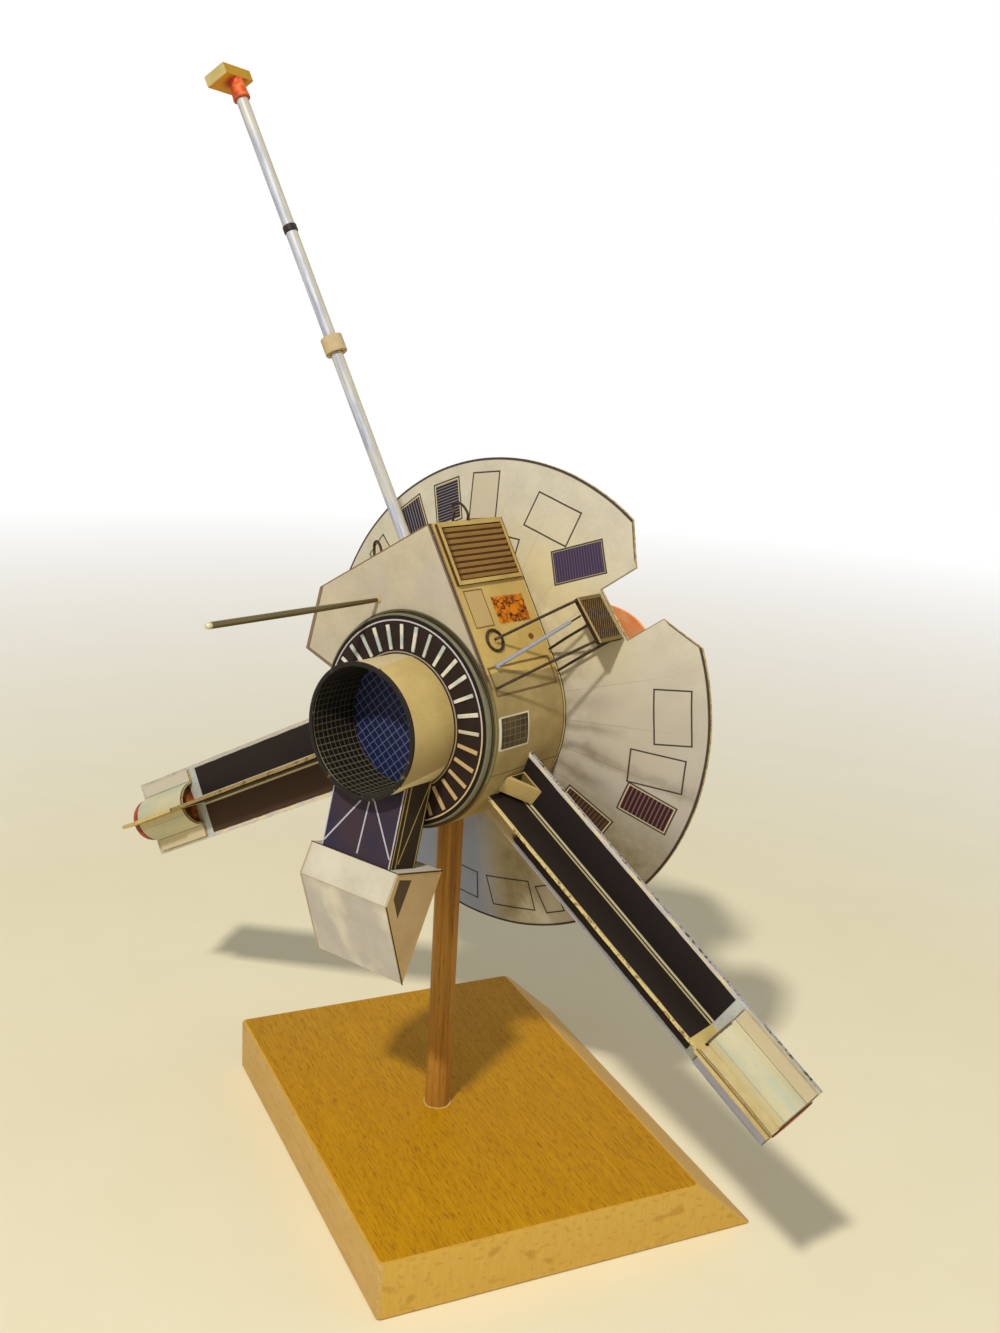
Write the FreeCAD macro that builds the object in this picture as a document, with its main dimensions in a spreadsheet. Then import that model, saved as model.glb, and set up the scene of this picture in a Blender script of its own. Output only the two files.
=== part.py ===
import FreeCAD, Part
import math
import os
import re
import Sketcher

# A display model of a spin-stabilised deep-space probe: folded and rolled card on a
# round hardwood peg, which stands in a bevelled hardwood board.  Millimetres, +Z up.
# The origin is on the underside of the board, straight below the peg.
#
# The craft is built in a frame of its own: z runs aft along its spin axis from the
# face of the louvre disc, y is up and x is to the right of someone who faces that disc.

Vec = FreeCAD.Vector
X_AXIS = Vec(1, 0, 0)
Y_AXIS = Vec(0, 1, 0)
Z_AXIS = Vec(0, 0, 1)
RIGHT_ANGLE = 90.0
FULL_TURN = 360.0
TOUCHING = 0.01

doc = FreeCAD.newDocument("ProbeModel")
sheet = doc.addObject("Spreadsheet::Sheet", "Sizes")

# alias, value in mm or degrees, what it is
SIZES = [
    ("board_length", 140.4, "board, along Y"),
    ("board_width", 103.0, "board's top, along X"),
    ("board_thick", 18.0, "board"),
    ("board_bevel", 19.7, "run of the bevelled long side"),
    ("board_corner", 2.0, "radius of the board's upright corners"),
    ("board_arris", 0.5, "softened edge of the board's top"),
    ("peg_from_side", 45.4, "peg's axis to the square long side"),
    ("peg_from_front", 68.9, "peg's axis to the front end"),
    ("peg_dia", 8.0, "peg"),
    ("peg_seat", 10.0, "depth of the peg in the board"),
    ("peg_in_drum", 14.0, "peg inside the drum"),
    ("axis_height", 152.0, "spin axis above the table at the peg"),
    ("axis_heading", 62.45, "turn of the spin axis about Z"),
    ("axis_tilt", 2.77, "rise of the spin axis towards its aft end"),
    ("peg_from_disc", 24.2, "peg's axis behind the disc's face"),
    ("card", 1.0, "mounting card"),
    ("drum_radius", 32.0, "drum"),
    ("drum_wall", 1.2, "drum"),
    ("drum_length", 31.5, "drum and instrument bay, between their end cards"),
    ("apex_x", 2.0, "bay's top corner"),
    ("apex_y", 57.2, "bay's top corner"),
    ("shoulder_x", -38.0, "bay's upper left corner"),
    ("shoulder_y", 32.0, "bay's upper left corner"),
    ("elbow_x", -42.4, "bay's lower left corner"),
    ("elbow_y", 12.3, "bay's lower left corner"),
    ("bay_root_y", 8.3, "where the bay meets the drum on the left"),
    ("disc_radius", 31.0, "louvre disc"),
    ("disc_thick", 2.5, "louvre disc"),
    ("blade_count", 32, "louvre blades"),
    ("blade_inner", 20.7, "blade's inner end from the axis"),
    ("blade_length", 7.4, "blade"),
    ("blade_width", 1.15, "blade"),
    ("relief", 0.5, "height of blades and rings"),
    ("outer_ring", 28.8, "outer ring's inner radius"),
    ("inner_ring", 19.7, "inner ring's inner radius"),
    ("ring_width", 0.7, "both rings"),
    ("can_radius", 19.4, "adapter can"),
    ("can_length", 18.2, "adapter can with its rim"),
    ("can_wall", 0.8, "adapter can"),
    ("can_floor", 0.5, "lining card on the can's floor"),
    ("rim_band", 0.6, "length and overhang of the can's rim"),
    ("dish_radius", 73.5, "dish"),
    ("dish_depth", 11.3, "dish, from its flat centre to the rim"),
    ("dish_card", 1.0, "dish"),
    ("notch_angle", 40.0, "first notch, from the craft's x"),
    ("notch_floor", 53.2, "notch's inner edge from the axis"),
    ("notch_half", 8.3, "half the width of the notch's slot"),
    ("notch_throat", 64.9, "where the notch flares, from the axis"),
    ("notch_flare", 2.3, "flare's sideways run for each mm outwards"),
    ("thruster_width", 14.6, "thruster box, across the notch"),
    ("thruster_depth", 1.6, "thruster box, towards the spin axis"),
    ("thruster_aft", 29.4, "thruster box's aft end behind the disc's face"),
    ("wire_dia", 0.7, "thruster stays of dark wire"),
    ("stay_dia", 1.0, "thruster stay of grey rod"),
    ("seat_gap", 0.1, "glue line at the slanted ends of rods and boxes"),
    ("feed_from_disc", 103.0, "feed cup's rim behind the disc's face"),
    ("feed_radius", 22.8, "feed cup"),
    ("feed_depth", 9.0, "feed cup"),
    ("feed_floor", 6.8, "radius of the feed cup's flat floor"),
    ("feed_card", 0.8, "feed cup"),
    ("feed_leg", 1.6, "diameter of the three feed legs"),
    ("feed_leg_foot", 44.0, "legs' feet from the axis"),
    ("feed_leg_turn", 60.0, "first leg past the first notch"),
    ("leg_foot_clear", 0.3, "legs' feet from the slope of the dish"),
    ("leg_top_clear", 0.9, "legs' ends from the slope of the cup"),
    ("horn_radius", 4.0, "feed horn's mouth"),
    ("horn_throat", 2.4, "radius of the feed horn at the cup"),
    ("horn_length", 12.0, "feed horn"),
    ("right_arm_angle", -33.2, "right arm, from the craft's x"),
    ("left_arm_angle", -151.2, "left arm, from the craft's x"),
    ("arm_plane", 20.0, "arm's flat card behind the disc's face"),
    ("arm_half", 13.1, "half the width of the arm's flat card"),
    ("arm_web", 12.4, "height of the arm's web"),
    ("arm_card", 1.2, "arm"),
    ("arm_reach", 149.7, "arm's tip from the axis"),
    ("generator_length", 28.2, "generator shroud and its fin strip"),
    ("shroud_radius", 7.8, "generator shroud"),
    ("shroud_card", 0.7, "generator shroud"),
    ("shroud_flange", 11.6, "flange's edge from the arm's middle"),
    ("cap_thick", 1.6, "end cap of a generator"),
    ("cap_radius", 7.4, "end cap of a generator"),
    ("core_recess", 1.5, "generator's core behind the shroud's open end"),
    ("fin_strip_width", 2.4, "strip along the generator's fin"),
    ("fin_strip_thick", 0.9, "strip along the generator's fin"),
    ("gusset_from_web", 1.7, "root gusset's near side from the arm's web"),
    ("gusset_width", 5.6, "root gusset, across the arm"),
    ("gusset_reach", 7.6, "root gusset, out from the drum"),
    ("gusset_height", 8.4, "root gusset, along the spin axis at the drum"),
    ("boom_dia", 3.9, "boom"),
    ("boom_lower", 64.8, "boom's lower tube"),
    ("collar_dia", 6.9, "boom's collar"),
    ("collar_length", 5.2, "boom's collar"),
    ("boom_middle", 35.2, "boom's middle tube"),
    ("band_dia", 4.4, "dark band on the boom"),
    ("band_length", 2.4, "dark band on the boom"),
    ("boom_upper", 43.2, "boom's upper tube"),
    ("socket_dia", 5.3, "socket under the sensor box, at the tube"),
    ("socket_top_dia", 4.4, "socket under the sensor box, at the box"),
    ("socket_length", 6.4, "socket under the sensor box"),
    ("sensor_width", 8.6, "sensor box, across the bay's flank"),
    ("sensor_length", 12.2, "sensor box, along the spin axis"),
    ("sensor_thick", 3.8, "sensor box"),
    ("sensor_aside", 2.0, "sensor box's middle from the boom's axis"),
    ("sensor_turn", 6.0, "sensor box's turn about the boom"),
    ("rod_x", -14.7, "aft rod's foot on the front card"),
    ("rod_y", 32.4, "aft rod's foot on the front card"),
    ("rod_dia", 1.9, "aft rod"),
    ("rod_length", 65.0, "aft rod"),
    ("pod_lean", 11.6, "lean of the bracket and pod, aft at the foot"),
    ("bracket_half", 13.1, "half the bracket's width"),
    ("bracket_rear", 2.5, "bracket's rear face before the leaning plane"),
    ("bracket_depth", 11.4, "bracket, front to back"),
    ("bracket_foot", 40.0, "bracket's foot from the axis"),
    ("pod_half", 16.75, "half the instrument pod's width"),
    ("pod_overhang", 0.4, "pod's top aft edge beyond the bracket"),
    ("pod_top", 20.1, "pod's flat top, front to back"),
    ("pod_lip", 9.4, "height of the pod's narrow upper face"),
    ("pod_lip_run", 2.2, "how far the upper face stands out at its foot"),
    ("pod_depth", 33.4, "pod, from its top to its keel"),
    ("pod_keel", 12.3, "keel's distance before the pod's top aft edge"),
    ("strip_louvre_from", 0.6, "side louvre's end from the bay's top corner"),
    ("strip_louvre_length", 18.6, "side louvre"),
    ("strip_louvre_width", 25.3, "side louvre, along the spin axis"),
    ("strip_louvre_margin", 4.7, "side louvre's edge behind the front card"),
    ("strip_louvre_border", 2.0, "side louvre's plain border"),
    ("slat_count", 9, "slats of the side louvre"),
    ("slat_width", 1.0, "slat of the side louvre"),
]
for line, (alias, value, note) in enumerate(SIZES, start=1):
    sheet.set("A%d" % line, note)
    sheet.set("B%d" % line, str(value))
    sheet.setAlias("B%d" % line, alias)
doc.recompute()
ALIASES = {alias for alias, _, _ in SIZES}


def size(alias):
    return float(sheet.get(alias))


def names(expression):
    """The expression with each alias written as the sheet's own cell."""
    def cell(word):
        return "Sizes." + word[0] if word[0] in ALIASES else word[0]
    return re.sub("[a-z_]+", cell, expression)


def number(expression):
    value = sheet.evalExpression(names(expression))
    return float(getattr(value, "Value", value))


# ---------------------------------------------------------------- frames

def shift(x=0.0, y=0.0, z=0.0):
    return FreeCAD.Placement(Vec(x, y, z), FreeCAD.Rotation())


def turn(axis, degrees):
    return FreeCAD.Placement(Vec(), FreeCAD.Rotation(axis, degrees))


WORLD = FreeCAD.Placement()
CRAFT = (shift(z=size("axis_height")) * turn(Z_AXIS, -size("axis_heading"))
         * turn(X_AXIS, RIGHT_ANGLE - size("axis_tilt")) * shift(z=size("peg_from_disc")))

FRONT = -size("disc_thick")                  # aft face of the front card
BAY_AFT = FRONT - size("card")
BAY_FORE = BAY_AFT - size("drum_length")
DISH_SEAT = BAY_FORE - size("card")          # the dish is glued on here


def polar(radius, angle, z):
    turned_by = math.radians(angle)
    return Vec(radius * math.cos(turned_by), radius * math.sin(turned_by), z)


# ---------------------------------------------------------------- builders

def bound(obj, **expressions):
    for prop, expression in expressions.items():
        obj.setExpression(prop, names(expression))
    return obj


def label(obj, name, place):
    obj.Label = name
    obj.Placement = place
    return obj


def box(name, length, width, height, place):
    obj = doc.addObject("Part::Box", name)
    return label(bound(obj, Length=length, Width=width, Height=height), name, place)


def rod(name, radius, height, place, angle="360"):
    obj = doc.addObject("Part::Cylinder", name)
    return label(bound(obj, Radius=radius, Height=height, Angle=angle), name, place)


def cut(name, base, tool):
    obj = doc.addObject("Part::Cut", name)
    obj.Base = base
    obj.Tool = tool
    obj.Label = name
    return obj


def fuse(name, pieces):
    obj = doc.addObject("Part::MultiFuse", name)
    obj.Shapes = pieces
    obj.Label = name
    return obj


def tube(name, radius, wall, height, place, angle="360"):
    outer = rod(name + "_outer", radius, height, place, angle)
    inner = rod(name + "_inner", "(%s) - (%s)" % (radius, wall), height, place, angle)
    return cut(name, outer, inner)


def rod_between(name, radius, start, end):
    """A round rod between two points of the craft's frame, with a glue line at each end."""
    run = end.sub(start)
    place = CRAFT * FreeCAD.Placement(start, FreeCAD.Rotation(Z_AXIS, run)) * shift(
        z=size("seat_gap") + number(radius) / 2)
    obj = doc.addObject("Part::Cylinder", name)
    bound(obj, Radius=radius, Height="%.9g - 2 * seat_gap - (%s)" % (run.Length, radius))
    return label(obj, name, place)


def new_body(name, place):
    body = doc.addObject("PartDesign::Body", name)
    return label(body, name, place)


def new_sketch(body, role="XY_Plane", offset="0"):
    sketch = body.newObject("Sketcher::SketchObject", body.Name + "_sketch")
    plane = [f for f in body.Origin.OriginFeatures if f.Role == role][0]
    sketch.AttachmentSupport = [(plane, "")]
    sketch.MapMode = "FlatFace"
    sketch.setExpression(".AttachmentOffset.Base.z", names(offset))
    return sketch


def pin_point(sketch, geometry, end, x, y):
    """Hold one end of a line or arc at a place given by two expressions."""
    for kind, expression in (("DistanceX", x), ("DistanceY", y)):
        spot = sketch.addConstraint(
            Sketcher.Constraint(kind, -1, 1, geometry, end, number(expression)))
        name = "%s_%d_%d" % (kind[-1].lower(), geometry, end)
        sketch.renameConstraint(spot, name)
        sketch.setExpression("Constraints." + name, names(expression))


def polygon(sketch, corners):
    """A closed outline; corners are pairs of expressions."""
    spots = [Vec(number(x), number(y), 0) for x, y in corners]
    count = len(spots)
    for i in range(count):
        sketch.addGeometry(Part.LineSegment(spots[i], spots[(i + 1) % count]))
    for i in range(count):
        sketch.addConstraint(Sketcher.Constraint("Coincident", i, 2, (i + 1) % count, 1))
    for i, (x, y) in enumerate(corners):
        pin_point(sketch, i, 1, x, y)


def pad(body, sketch, length):
    feature = body.newObject("PartDesign::Pad", body.Name + "_pad")
    feature.Profile = sketch
    bound(feature, Length=length)
    return feature


def prism(name, corners, low, length, place, role="XY_Plane"):
    body = new_body(name, place)
    sketch = new_sketch(body, role, low)
    polygon(sketch, corners)
    pad(body, sketch, length)
    return body


def turned(name, corners, place):
    """A body turned about its z axis; corners are (radius, z)."""
    body = new_body(name, place)
    sketch = new_sketch(body, "XZ_Plane")
    polygon(sketch, corners)
    feature = body.newObject("PartDesign::Revolution", name + "_turned")
    feature.Profile = sketch
    feature.ReferenceAxis = (sketch, ["V_Axis"])
    feature.Angle = FULL_TURN
    return body


# ---------------------------------------------------------------- board and peg

def make_board():
    """A board with one bevelled long side, and the blind hole for the peg."""
    body = new_body("plinth_board", WORLD)
    sketch = new_sketch(body, "XZ_Plane", "-(board_length - peg_from_front)")
    polygon(sketch, [
        ("-peg_from_side", "0"),
        ("board_width - peg_from_side + board_bevel", "0"),
        ("board_width - peg_from_side", "board_thick"),
        ("-peg_from_side", "board_thick"),
    ])
    slab = pad(body, sketch, "board_length")
    doc.recompute()
    uprights = []
    for i, edge in enumerate(slab.Shape.Edges, start=1):
        ends = [vertex.Point for vertex in edge.Vertexes]
        slant = math.hypot(ends[0].x - ends[1].x, ends[0].y - ends[1].y)
        if slant < TOUCHING:
            uprights.append("Edge%d" % i)
    rounding = body.newObject("PartDesign::Fillet", "board_rounding")
    rounding.Base = (slab, uprights)
    bound(rounding, Radius="board_corner")
    doc.recompute()
    top = [("Face%d" % i) for i, face in enumerate(rounding.Shape.Faces, start=1)
           if face.CenterOfMass.z > size("board_thick") - TOUCHING]
    easing = body.newObject("PartDesign::Chamfer", "board_easing")
    easing.Base = (rounding, top)
    bound(easing, Size="board_arris")
    hole = new_sketch(body, "XY_Plane", "board_thick")
    hole.Label = "peg_hole_sketch"
    hole.addGeometry(Part.Circle(Vec(), Z_AXIS, size("peg_dia") / 2))
    hole.addConstraint(Sketcher.Constraint("Coincident", 0, 3, -1, 1))
    across = hole.addConstraint(Sketcher.Constraint("Diameter", 0, size("peg_dia")))
    hole.renameConstraint(across, "across")
    hole.setExpression("Constraints.across", names("peg_dia"))
    pocket = body.newObject("PartDesign::Pocket", "peg_hole")
    pocket.Profile = hole
    bound(pocket, Length="peg_seat")
    return body


def make_peg():
    foot = shift(z=size("board_thick") - size("peg_seat"))
    height = "axis_height - drum_radius + peg_in_drum - board_thick + peg_seat"
    return rod("peg", "peg_dia / 2", height, foot)


# ---------------------------------------------------------------- drum and bay

def flank():
    """The bay's right flank: its top corner, the angle where it leaves the drum's circle,
    and the turn from there to the corner, in radians."""
    apex = Vec(size("apex_x"), size("apex_y"), 0)
    sweep = math.acos(size("drum_radius") / apex.Length)
    return apex, math.atan2(apex.y, apex.x) - sweep, sweep


def bay_outline(sketch, whole):
    """Bay corners joined to the drum's circle: all the way round, or only up to it."""
    radius = size("drum_radius")
    apex, touch_angle, _ = flank()
    shoulder = Vec(size("shoulder_x"), size("shoulder_y"), 0)
    elbow = Vec(size("elbow_x"), size("elbow_y"), 0)
    root_angle = math.pi - math.asin(size("bay_root_y") / radius)
    root = Vec(radius * math.cos(root_angle), radius * math.sin(root_angle), 0)
    touch = Vec(radius * math.cos(touch_angle), radius * math.sin(touch_angle), 0)
    for start, end in ((apex, shoulder), (shoulder, elbow), (elbow, root)):
        sketch.addGeometry(Part.LineSegment(start, end))
    circle = Part.Circle(Vec(), Z_AXIS, radius)
    if whole:
        sketch.addGeometry(Part.ArcOfCircle(circle, root_angle, touch_angle + 2 * math.pi))
    else:
        sketch.addGeometry(Part.ArcOfCircle(circle, touch_angle, root_angle))
    root_end = 1 if whole else 2
    touch_end = 2 if whole else 1
    sketch.addGeometry(Part.LineSegment(touch, apex))
    for pair in ((0, 2, 1, 1), (1, 2, 2, 1), (2, 2, 3, root_end), (4, 2, 0, 1)):
        sketch.addConstraint(Sketcher.Constraint("Coincident", *pair))
    sketch.addConstraint(Sketcher.Constraint("Coincident", 3, 3, -1, 1))
    sketch.addConstraint(Sketcher.Constraint("Tangent", 3, touch_end, 4, 1))
    across = sketch.addConstraint(Sketcher.Constraint("Radius", 3, radius))
    sketch.renameConstraint(across, "drum")
    sketch.setExpression("Constraints.drum", names("drum_radius"))
    pin_point(sketch, 0, 1, "apex_x", "apex_y")
    pin_point(sketch, 1, 1, "shoulder_x", "shoulder_y")
    pin_point(sketch, 2, 1, "elbow_x", "elbow_y")
    level = sketch.addConstraint(
        Sketcher.Constraint("DistanceY", -1, 1, 3, root_end, size("bay_root_y")))
    sketch.renameConstraint(level, "root")
    sketch.setExpression("Constraints.root", names("bay_root_y"))


def bay_piece(name, whole, low, length):
    body = new_body(name, CRAFT)
    sketch = new_sketch(body, "XY_Plane", low)
    bay_outline(sketch, whole)
    pad(body, sketch, length)
    return body


def make_drum_and_bay():
    place = CRAFT * shift(z=BAY_FORE)
    shell = tube("drum_shell", "drum_radius", "drum_wall", "drum_length", place)
    through = rod("peg_way", "peg_dia / 2", "axis_height", WORLD)
    return [
        bay_piece("front_card", True, "-disc_thick - card", "card"),
        cut("drum", shell, through),
        bay_piece("instrument_bay", False, "-disc_thick - card - drum_length",
                  "drum_length"),
        bay_piece("back_card", True, "-disc_thick - 2 * card - drum_length", "card"),
    ]


def make_louvre_disc():
    """The aft disc with its raised blades and rings."""
    disc = rod("louvre_disc", "disc_radius", "disc_thick", CRAFT * shift(z=FRONT))
    count = int(size("blade_count"))
    blades = []
    for i in range(count):
        place = (CRAFT * turn(Z_AXIS, (i + 0.5) * FULL_TURN / count)
                 * shift(size("blade_inner"), -size("blade_width") / 2, 0))
        blades.append(box("blade_%02d" % i, "blade_length", "blade_width", "relief", place))
    rings = [
        tube("outer_ring_band", "outer_ring + ring_width", "ring_width", "relief", CRAFT),
        tube("inner_ring_band", "inner_ring + ring_width", "ring_width", "relief", CRAFT),
    ]
    return [disc, fuse("louvre_blades", blades), fuse("louvre_rings", rings)]


def make_can():
    """The open adapter can on the louvre disc."""
    wall = tube("adapter_can", "can_radius", "can_wall", "can_length - rim_band", CRAFT)
    rim_place = CRAFT * shift(z=size("can_length") - size("rim_band"))
    rim = tube("can_rim", "can_radius + rim_band / 2", "can_wall + rim_band / 2",
               "rim_band", rim_place)
    floor = rod("can_floor", "can_radius - can_wall", "can_floor", CRAFT)
    return [wall, rim, floor]


def make_side_louvre():
    """The slatted card on the bay's right flank, which is tangent to the drum."""
    apex, outward, _ = flank()
    down = math.degrees(outward) - RIGHT_ANGLE
    card = (CRAFT * shift(apex.x, apex.y, -size("strip_louvre_margin"))
            * turn(Z_AXIS, down) * turn(X_AXIS, RIGHT_ANGLE)
            * shift(size("strip_louvre_from"), -size("strip_louvre_width"), -size("relief")))
    frame = box("louvre_card", "strip_louvre_length", "strip_louvre_width", "relief", card)
    border = size("strip_louvre_border")
    pitch = (size("strip_louvre_length") - 2 * border) / size("slat_count")
    slats = []
    for i in range(int(size("slat_count"))):
        start = border + pitch * (i + 0.5) - size("slat_width") / 2
        slats.append(box("slat_%d" % i, "slat_width",
                         "strip_louvre_width - 2 * strip_louvre_border", "relief",
                         card * shift(start, border, -size("relief"))))
    return [fuse("side_louvre", [frame] + slats)]


# ---------------------------------------------------------------- dish and feed

def dish_height(radius):
    """Dish surface behind its seat, at a distance from the axis."""
    inner = size("drum_radius")
    return -size("dish_depth") * (radius - inner) / (size("dish_radius") - inner)


def make_dish():
    """A shallow card dish with a flat centre and two notches at its rim."""
    seat = "-disc_thick - 2 * card - drum_length"
    rim = seat + " - dish_depth"
    blank = turned("dish_blank", [
        ("0", seat),
        ("drum_radius", seat),
        ("dish_radius", rim),
        ("dish_radius", rim + " - dish_card"),
        ("drum_radius", seat + " - dish_card"),
        ("0", seat + " - dish_card"),
    ], CRAFT)
    notches = []
    for i in range(2):
        place = CRAFT * turn(Z_AXIS, size("notch_angle") + i * FULL_TURN / 2)
        reach = "(dish_radius + dish_card)"
        wide = "notch_half + notch_flare * (%s - notch_throat)" % reach
        notches.append(prism("notch_%d" % i, [
            ("notch_floor", "-notch_half"),
            ("notch_throat", "-notch_half"),
            (reach, "-(%s)" % wide),
            (reach, wide),
            ("notch_throat", "notch_half"),
            ("notch_floor", "notch_half"),
        ], rim + " - 2 * dish_card", "dish_depth + 2 * dish_card", place))
    return [cut("dish", blank, fuse("notch_pair", notches))]


LEG_COUNT = 3


def make_feed():
    """The cup, its horn and the three legs that hold them before the dish."""
    rim = "-feed_from_disc"
    cup = turned("feed_cup", [
        ("0", rim + " - feed_depth"),
        ("feed_floor", rim + " - feed_depth"),
        ("feed_radius", rim),
        ("feed_radius", rim + " - feed_card"),
        ("feed_floor", rim + " - feed_depth - feed_card"),
        ("0", rim + " - feed_depth - feed_card"),
    ], CRAFT)
    horn = turned("feed_horn", [
        ("0", rim + " - feed_depth - feed_card"),
        ("horn_throat", rim + " - feed_depth - feed_card"),
        ("horn_radius", rim + " - feed_depth - feed_card - horn_length"),
        ("0", rim + " - feed_depth - feed_card - horn_length"),
    ], CRAFT)
    foot_r = size("feed_leg_foot")
    top_r = size("feed_radius") - size("feed_leg")
    foot_z = DISH_SEAT + dish_height(foot_r) - size("dish_card") - size("leg_foot_clear")
    slope = size("feed_depth") / (size("feed_radius") - size("feed_floor"))
    top_z = -size("feed_from_disc") - slope * size("feed_leg") + size("leg_top_clear")
    legs = []
    for i in range(LEG_COUNT):
        angle = size("notch_angle") + size("feed_leg_turn") + i * FULL_TURN / LEG_COUNT
        legs.append(rod_between("feed_leg_%d" % i, "feed_leg / 2",
                                polar(foot_r, angle, foot_z), polar(top_r, angle, top_z)))
    return [cup, horn, fuse("feed_legs", legs)]


def flank_radius(angle):
    """Distance from the axis to the bay's flat flank or the drum, at an angle."""
    _, outward, sweep = flank()
    past = math.radians(angle) - outward
    if 0 < past < sweep:
        return size("drum_radius") / math.cos(past)
    return size("drum_radius")


# A thruster box's stays.  Columns: name, thickness, the foot's turn from the notch and its share
# of the drum's length, then the end's share of the box's half width and of its length,
# and its share of the box's depth.
STAYS = [
    ("long_wire", "wire_dia", 11.2, 0.25, 0.9, 0.0, 0.6),
    ("grey_rod", "stay_dia", -1.6, 0.14, 0.3, 0.0, 0.5),
    ("short_wire", "wire_dia", 1.3, 0.97, -0.1, 0.1, 0.0),
    ("low_wire", "wire_dia", -12.2, 0.03, -0.85, 0.0, 0.5),
    ("fore_wire", "wire_dia", -10.6, 0.97, -0.85, 0.9, 0.0),
]
# The left arm's card leaves room for these two alone at the left box.
FORE_STAYS = [stay for stay in STAYS if stay[3] > 0.5]


def make_thruster(side, angle, hand, stay_table):
    """A thruster box that stands on the dish at a notch's floor, with its stays.

    hand is 1 or -1: it mirrors the stays about the middle of the notch."""
    place = CRAFT * turn(Z_AXIS, angle)
    inner = size("notch_floor") - size("thruster_depth")
    half = size("thruster_width") / 2
    aft = -size("thruster_aft")
    seat = DISH_SEAT + dish_height(inner) + size("seat_gap")
    case = doc.addObject("Part::Box", "thruster_box_" + side)
    case.Height = aft - seat
    bound(case, Length="thruster_depth", Width="thruster_width")
    label(case, "thruster_box_" + side, place * shift(inner, -half, seat))
    spin = FreeCAD.Rotation(Z_AXIS, angle)
    stays = []
    for name, thickness, foot_turn, foot_share, tangent, length_share, depth_share in stay_table:
        radius = size(thickness) / 2
        foot_angle = angle + hand * foot_turn
        on_flank = flank_radius(foot_angle) + radius + size("seat_gap")
        foot = polar(on_flank, foot_angle, BAY_AFT - foot_share * size("drum_length"))
        clear = radius + size("seat_gap")
        if length_share > 0:
            x = inner - clear
            z = aft - length_share * (aft - seat)
        else:
            x = inner + depth_share * size("thruster_depth")
            z = aft + clear
        end = spin.multVec(Vec(x, hand * tangent * half, z))
        stays.append(rod_between(side + "_" + name, thickness + " / 2", foot, end))
    return [case, fuse("thruster_stays_" + side, stays)]


# ---------------------------------------------------------------- generator arms

def make_arm(side, angle, upper):
    """A T-section card arm with a generator in its shroud at the tip.

    upper is 1 or -1: the side of the web that faces up, where the root gusset is."""
    arm = CRAFT * turn(Z_AXIS, angle) * shift(z=-size("arm_plane"))
    outward = turn(Y_AXIS, RIGHT_ANGLE)
    half_card = size("arm_card") / 2
    half_width = size("arm_half")
    start = size("arm_reach") - size("generator_length")
    web_top = half_card + size("arm_web")

    def drum_way(name):
        return rod(name, "drum_radius", "drum_length", arm * shift(z=-size("drum_length") / 2))

    flat = box(side + "_flat", "arm_reach - drum_radius / 2", "2 * arm_half", "arm_card",
               arm * shift(size("drum_radius") / 2, -half_width, -half_card))
    panel = cut(side + "_arm_panel", flat, drum_way(side + "_panel_root"))
    web = box(side + "_arm_web", "arm_reach - drum_radius", "arm_card", "arm_web",
              arm * shift(size("drum_radius"), -half_card, half_card))

    panel_way = box(side + "_panel_way", "generator_length", "2 * arm_half", "arm_card",
                    arm * shift(start, -half_width, -half_card))
    web_way = box(side + "_web_way", "generator_length", "arm_card", "arm_web",
                  arm * shift(start, -half_card, half_card))
    card_ways = fuse(side + "_card_ways", [panel_way, web_way])
    pieces_of_shroud = [tube(side + "_shroud_tube", "shroud_radius", "shroud_card",
                             "generator_length", arm * shift(start) * outward)]
    inner_edge = size("shroud_radius") - size("shroud_card")
    for edge, low in (("high", inner_edge), ("low", -size("shroud_flange"))):
        for face, level in (("aft", half_card), ("fore", -half_card - size("shroud_card"))):
            pieces_of_shroud.append(
                box("%s_flange_%s_%s" % (side, edge, face), "generator_length",
                    "shroud_flange - shroud_radius + shroud_card", "shroud_card",
                    arm * shift(start, low, level)))
    shroud = cut(side + "_generator_shroud", fuse(side + "_shroud_whole", pieces_of_shroud),
                 card_ways)
    core_start = start + size("core_recess")
    core = cut(side + "_generator_core",
               rod(side + "_core_rod", "shroud_radius - shroud_card",
                   "generator_length - core_recess", arm * shift(core_start) * outward),
               card_ways)
    cap = rod(side + "_generator_cap", "cap_radius", "cap_thick",
              arm * shift(size("arm_reach")) * outward)
    strip = box(side + "_fin_strip", "generator_length", "fin_strip_width", "fin_strip_thick",
                arm * shift(start, -size("fin_strip_width") / 2, web_top))

    near = size("gusset_from_web")
    far = near + size("gusset_width")
    high_side = far if upper > 0 else -near
    wedge = prism(side + "_gusset_blank", [
        ("drum_radius - gusset_reach / 4", "arm_card / 2"),
        ("drum_radius + gusset_reach", "arm_card / 2"),
        ("drum_radius - gusset_reach / 4", "arm_card / 2 + gusset_height"),
    ], "%g" % -high_side, "gusset_width", arm, "XZ_Plane")
    gusset = cut(side + "_root_gusset", wedge, drum_way(side + "_gusset_root"))
    return [panel, web, shroud, core, cap, strip, gusset]


# ---------------------------------------------------------------- boom and rod

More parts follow.
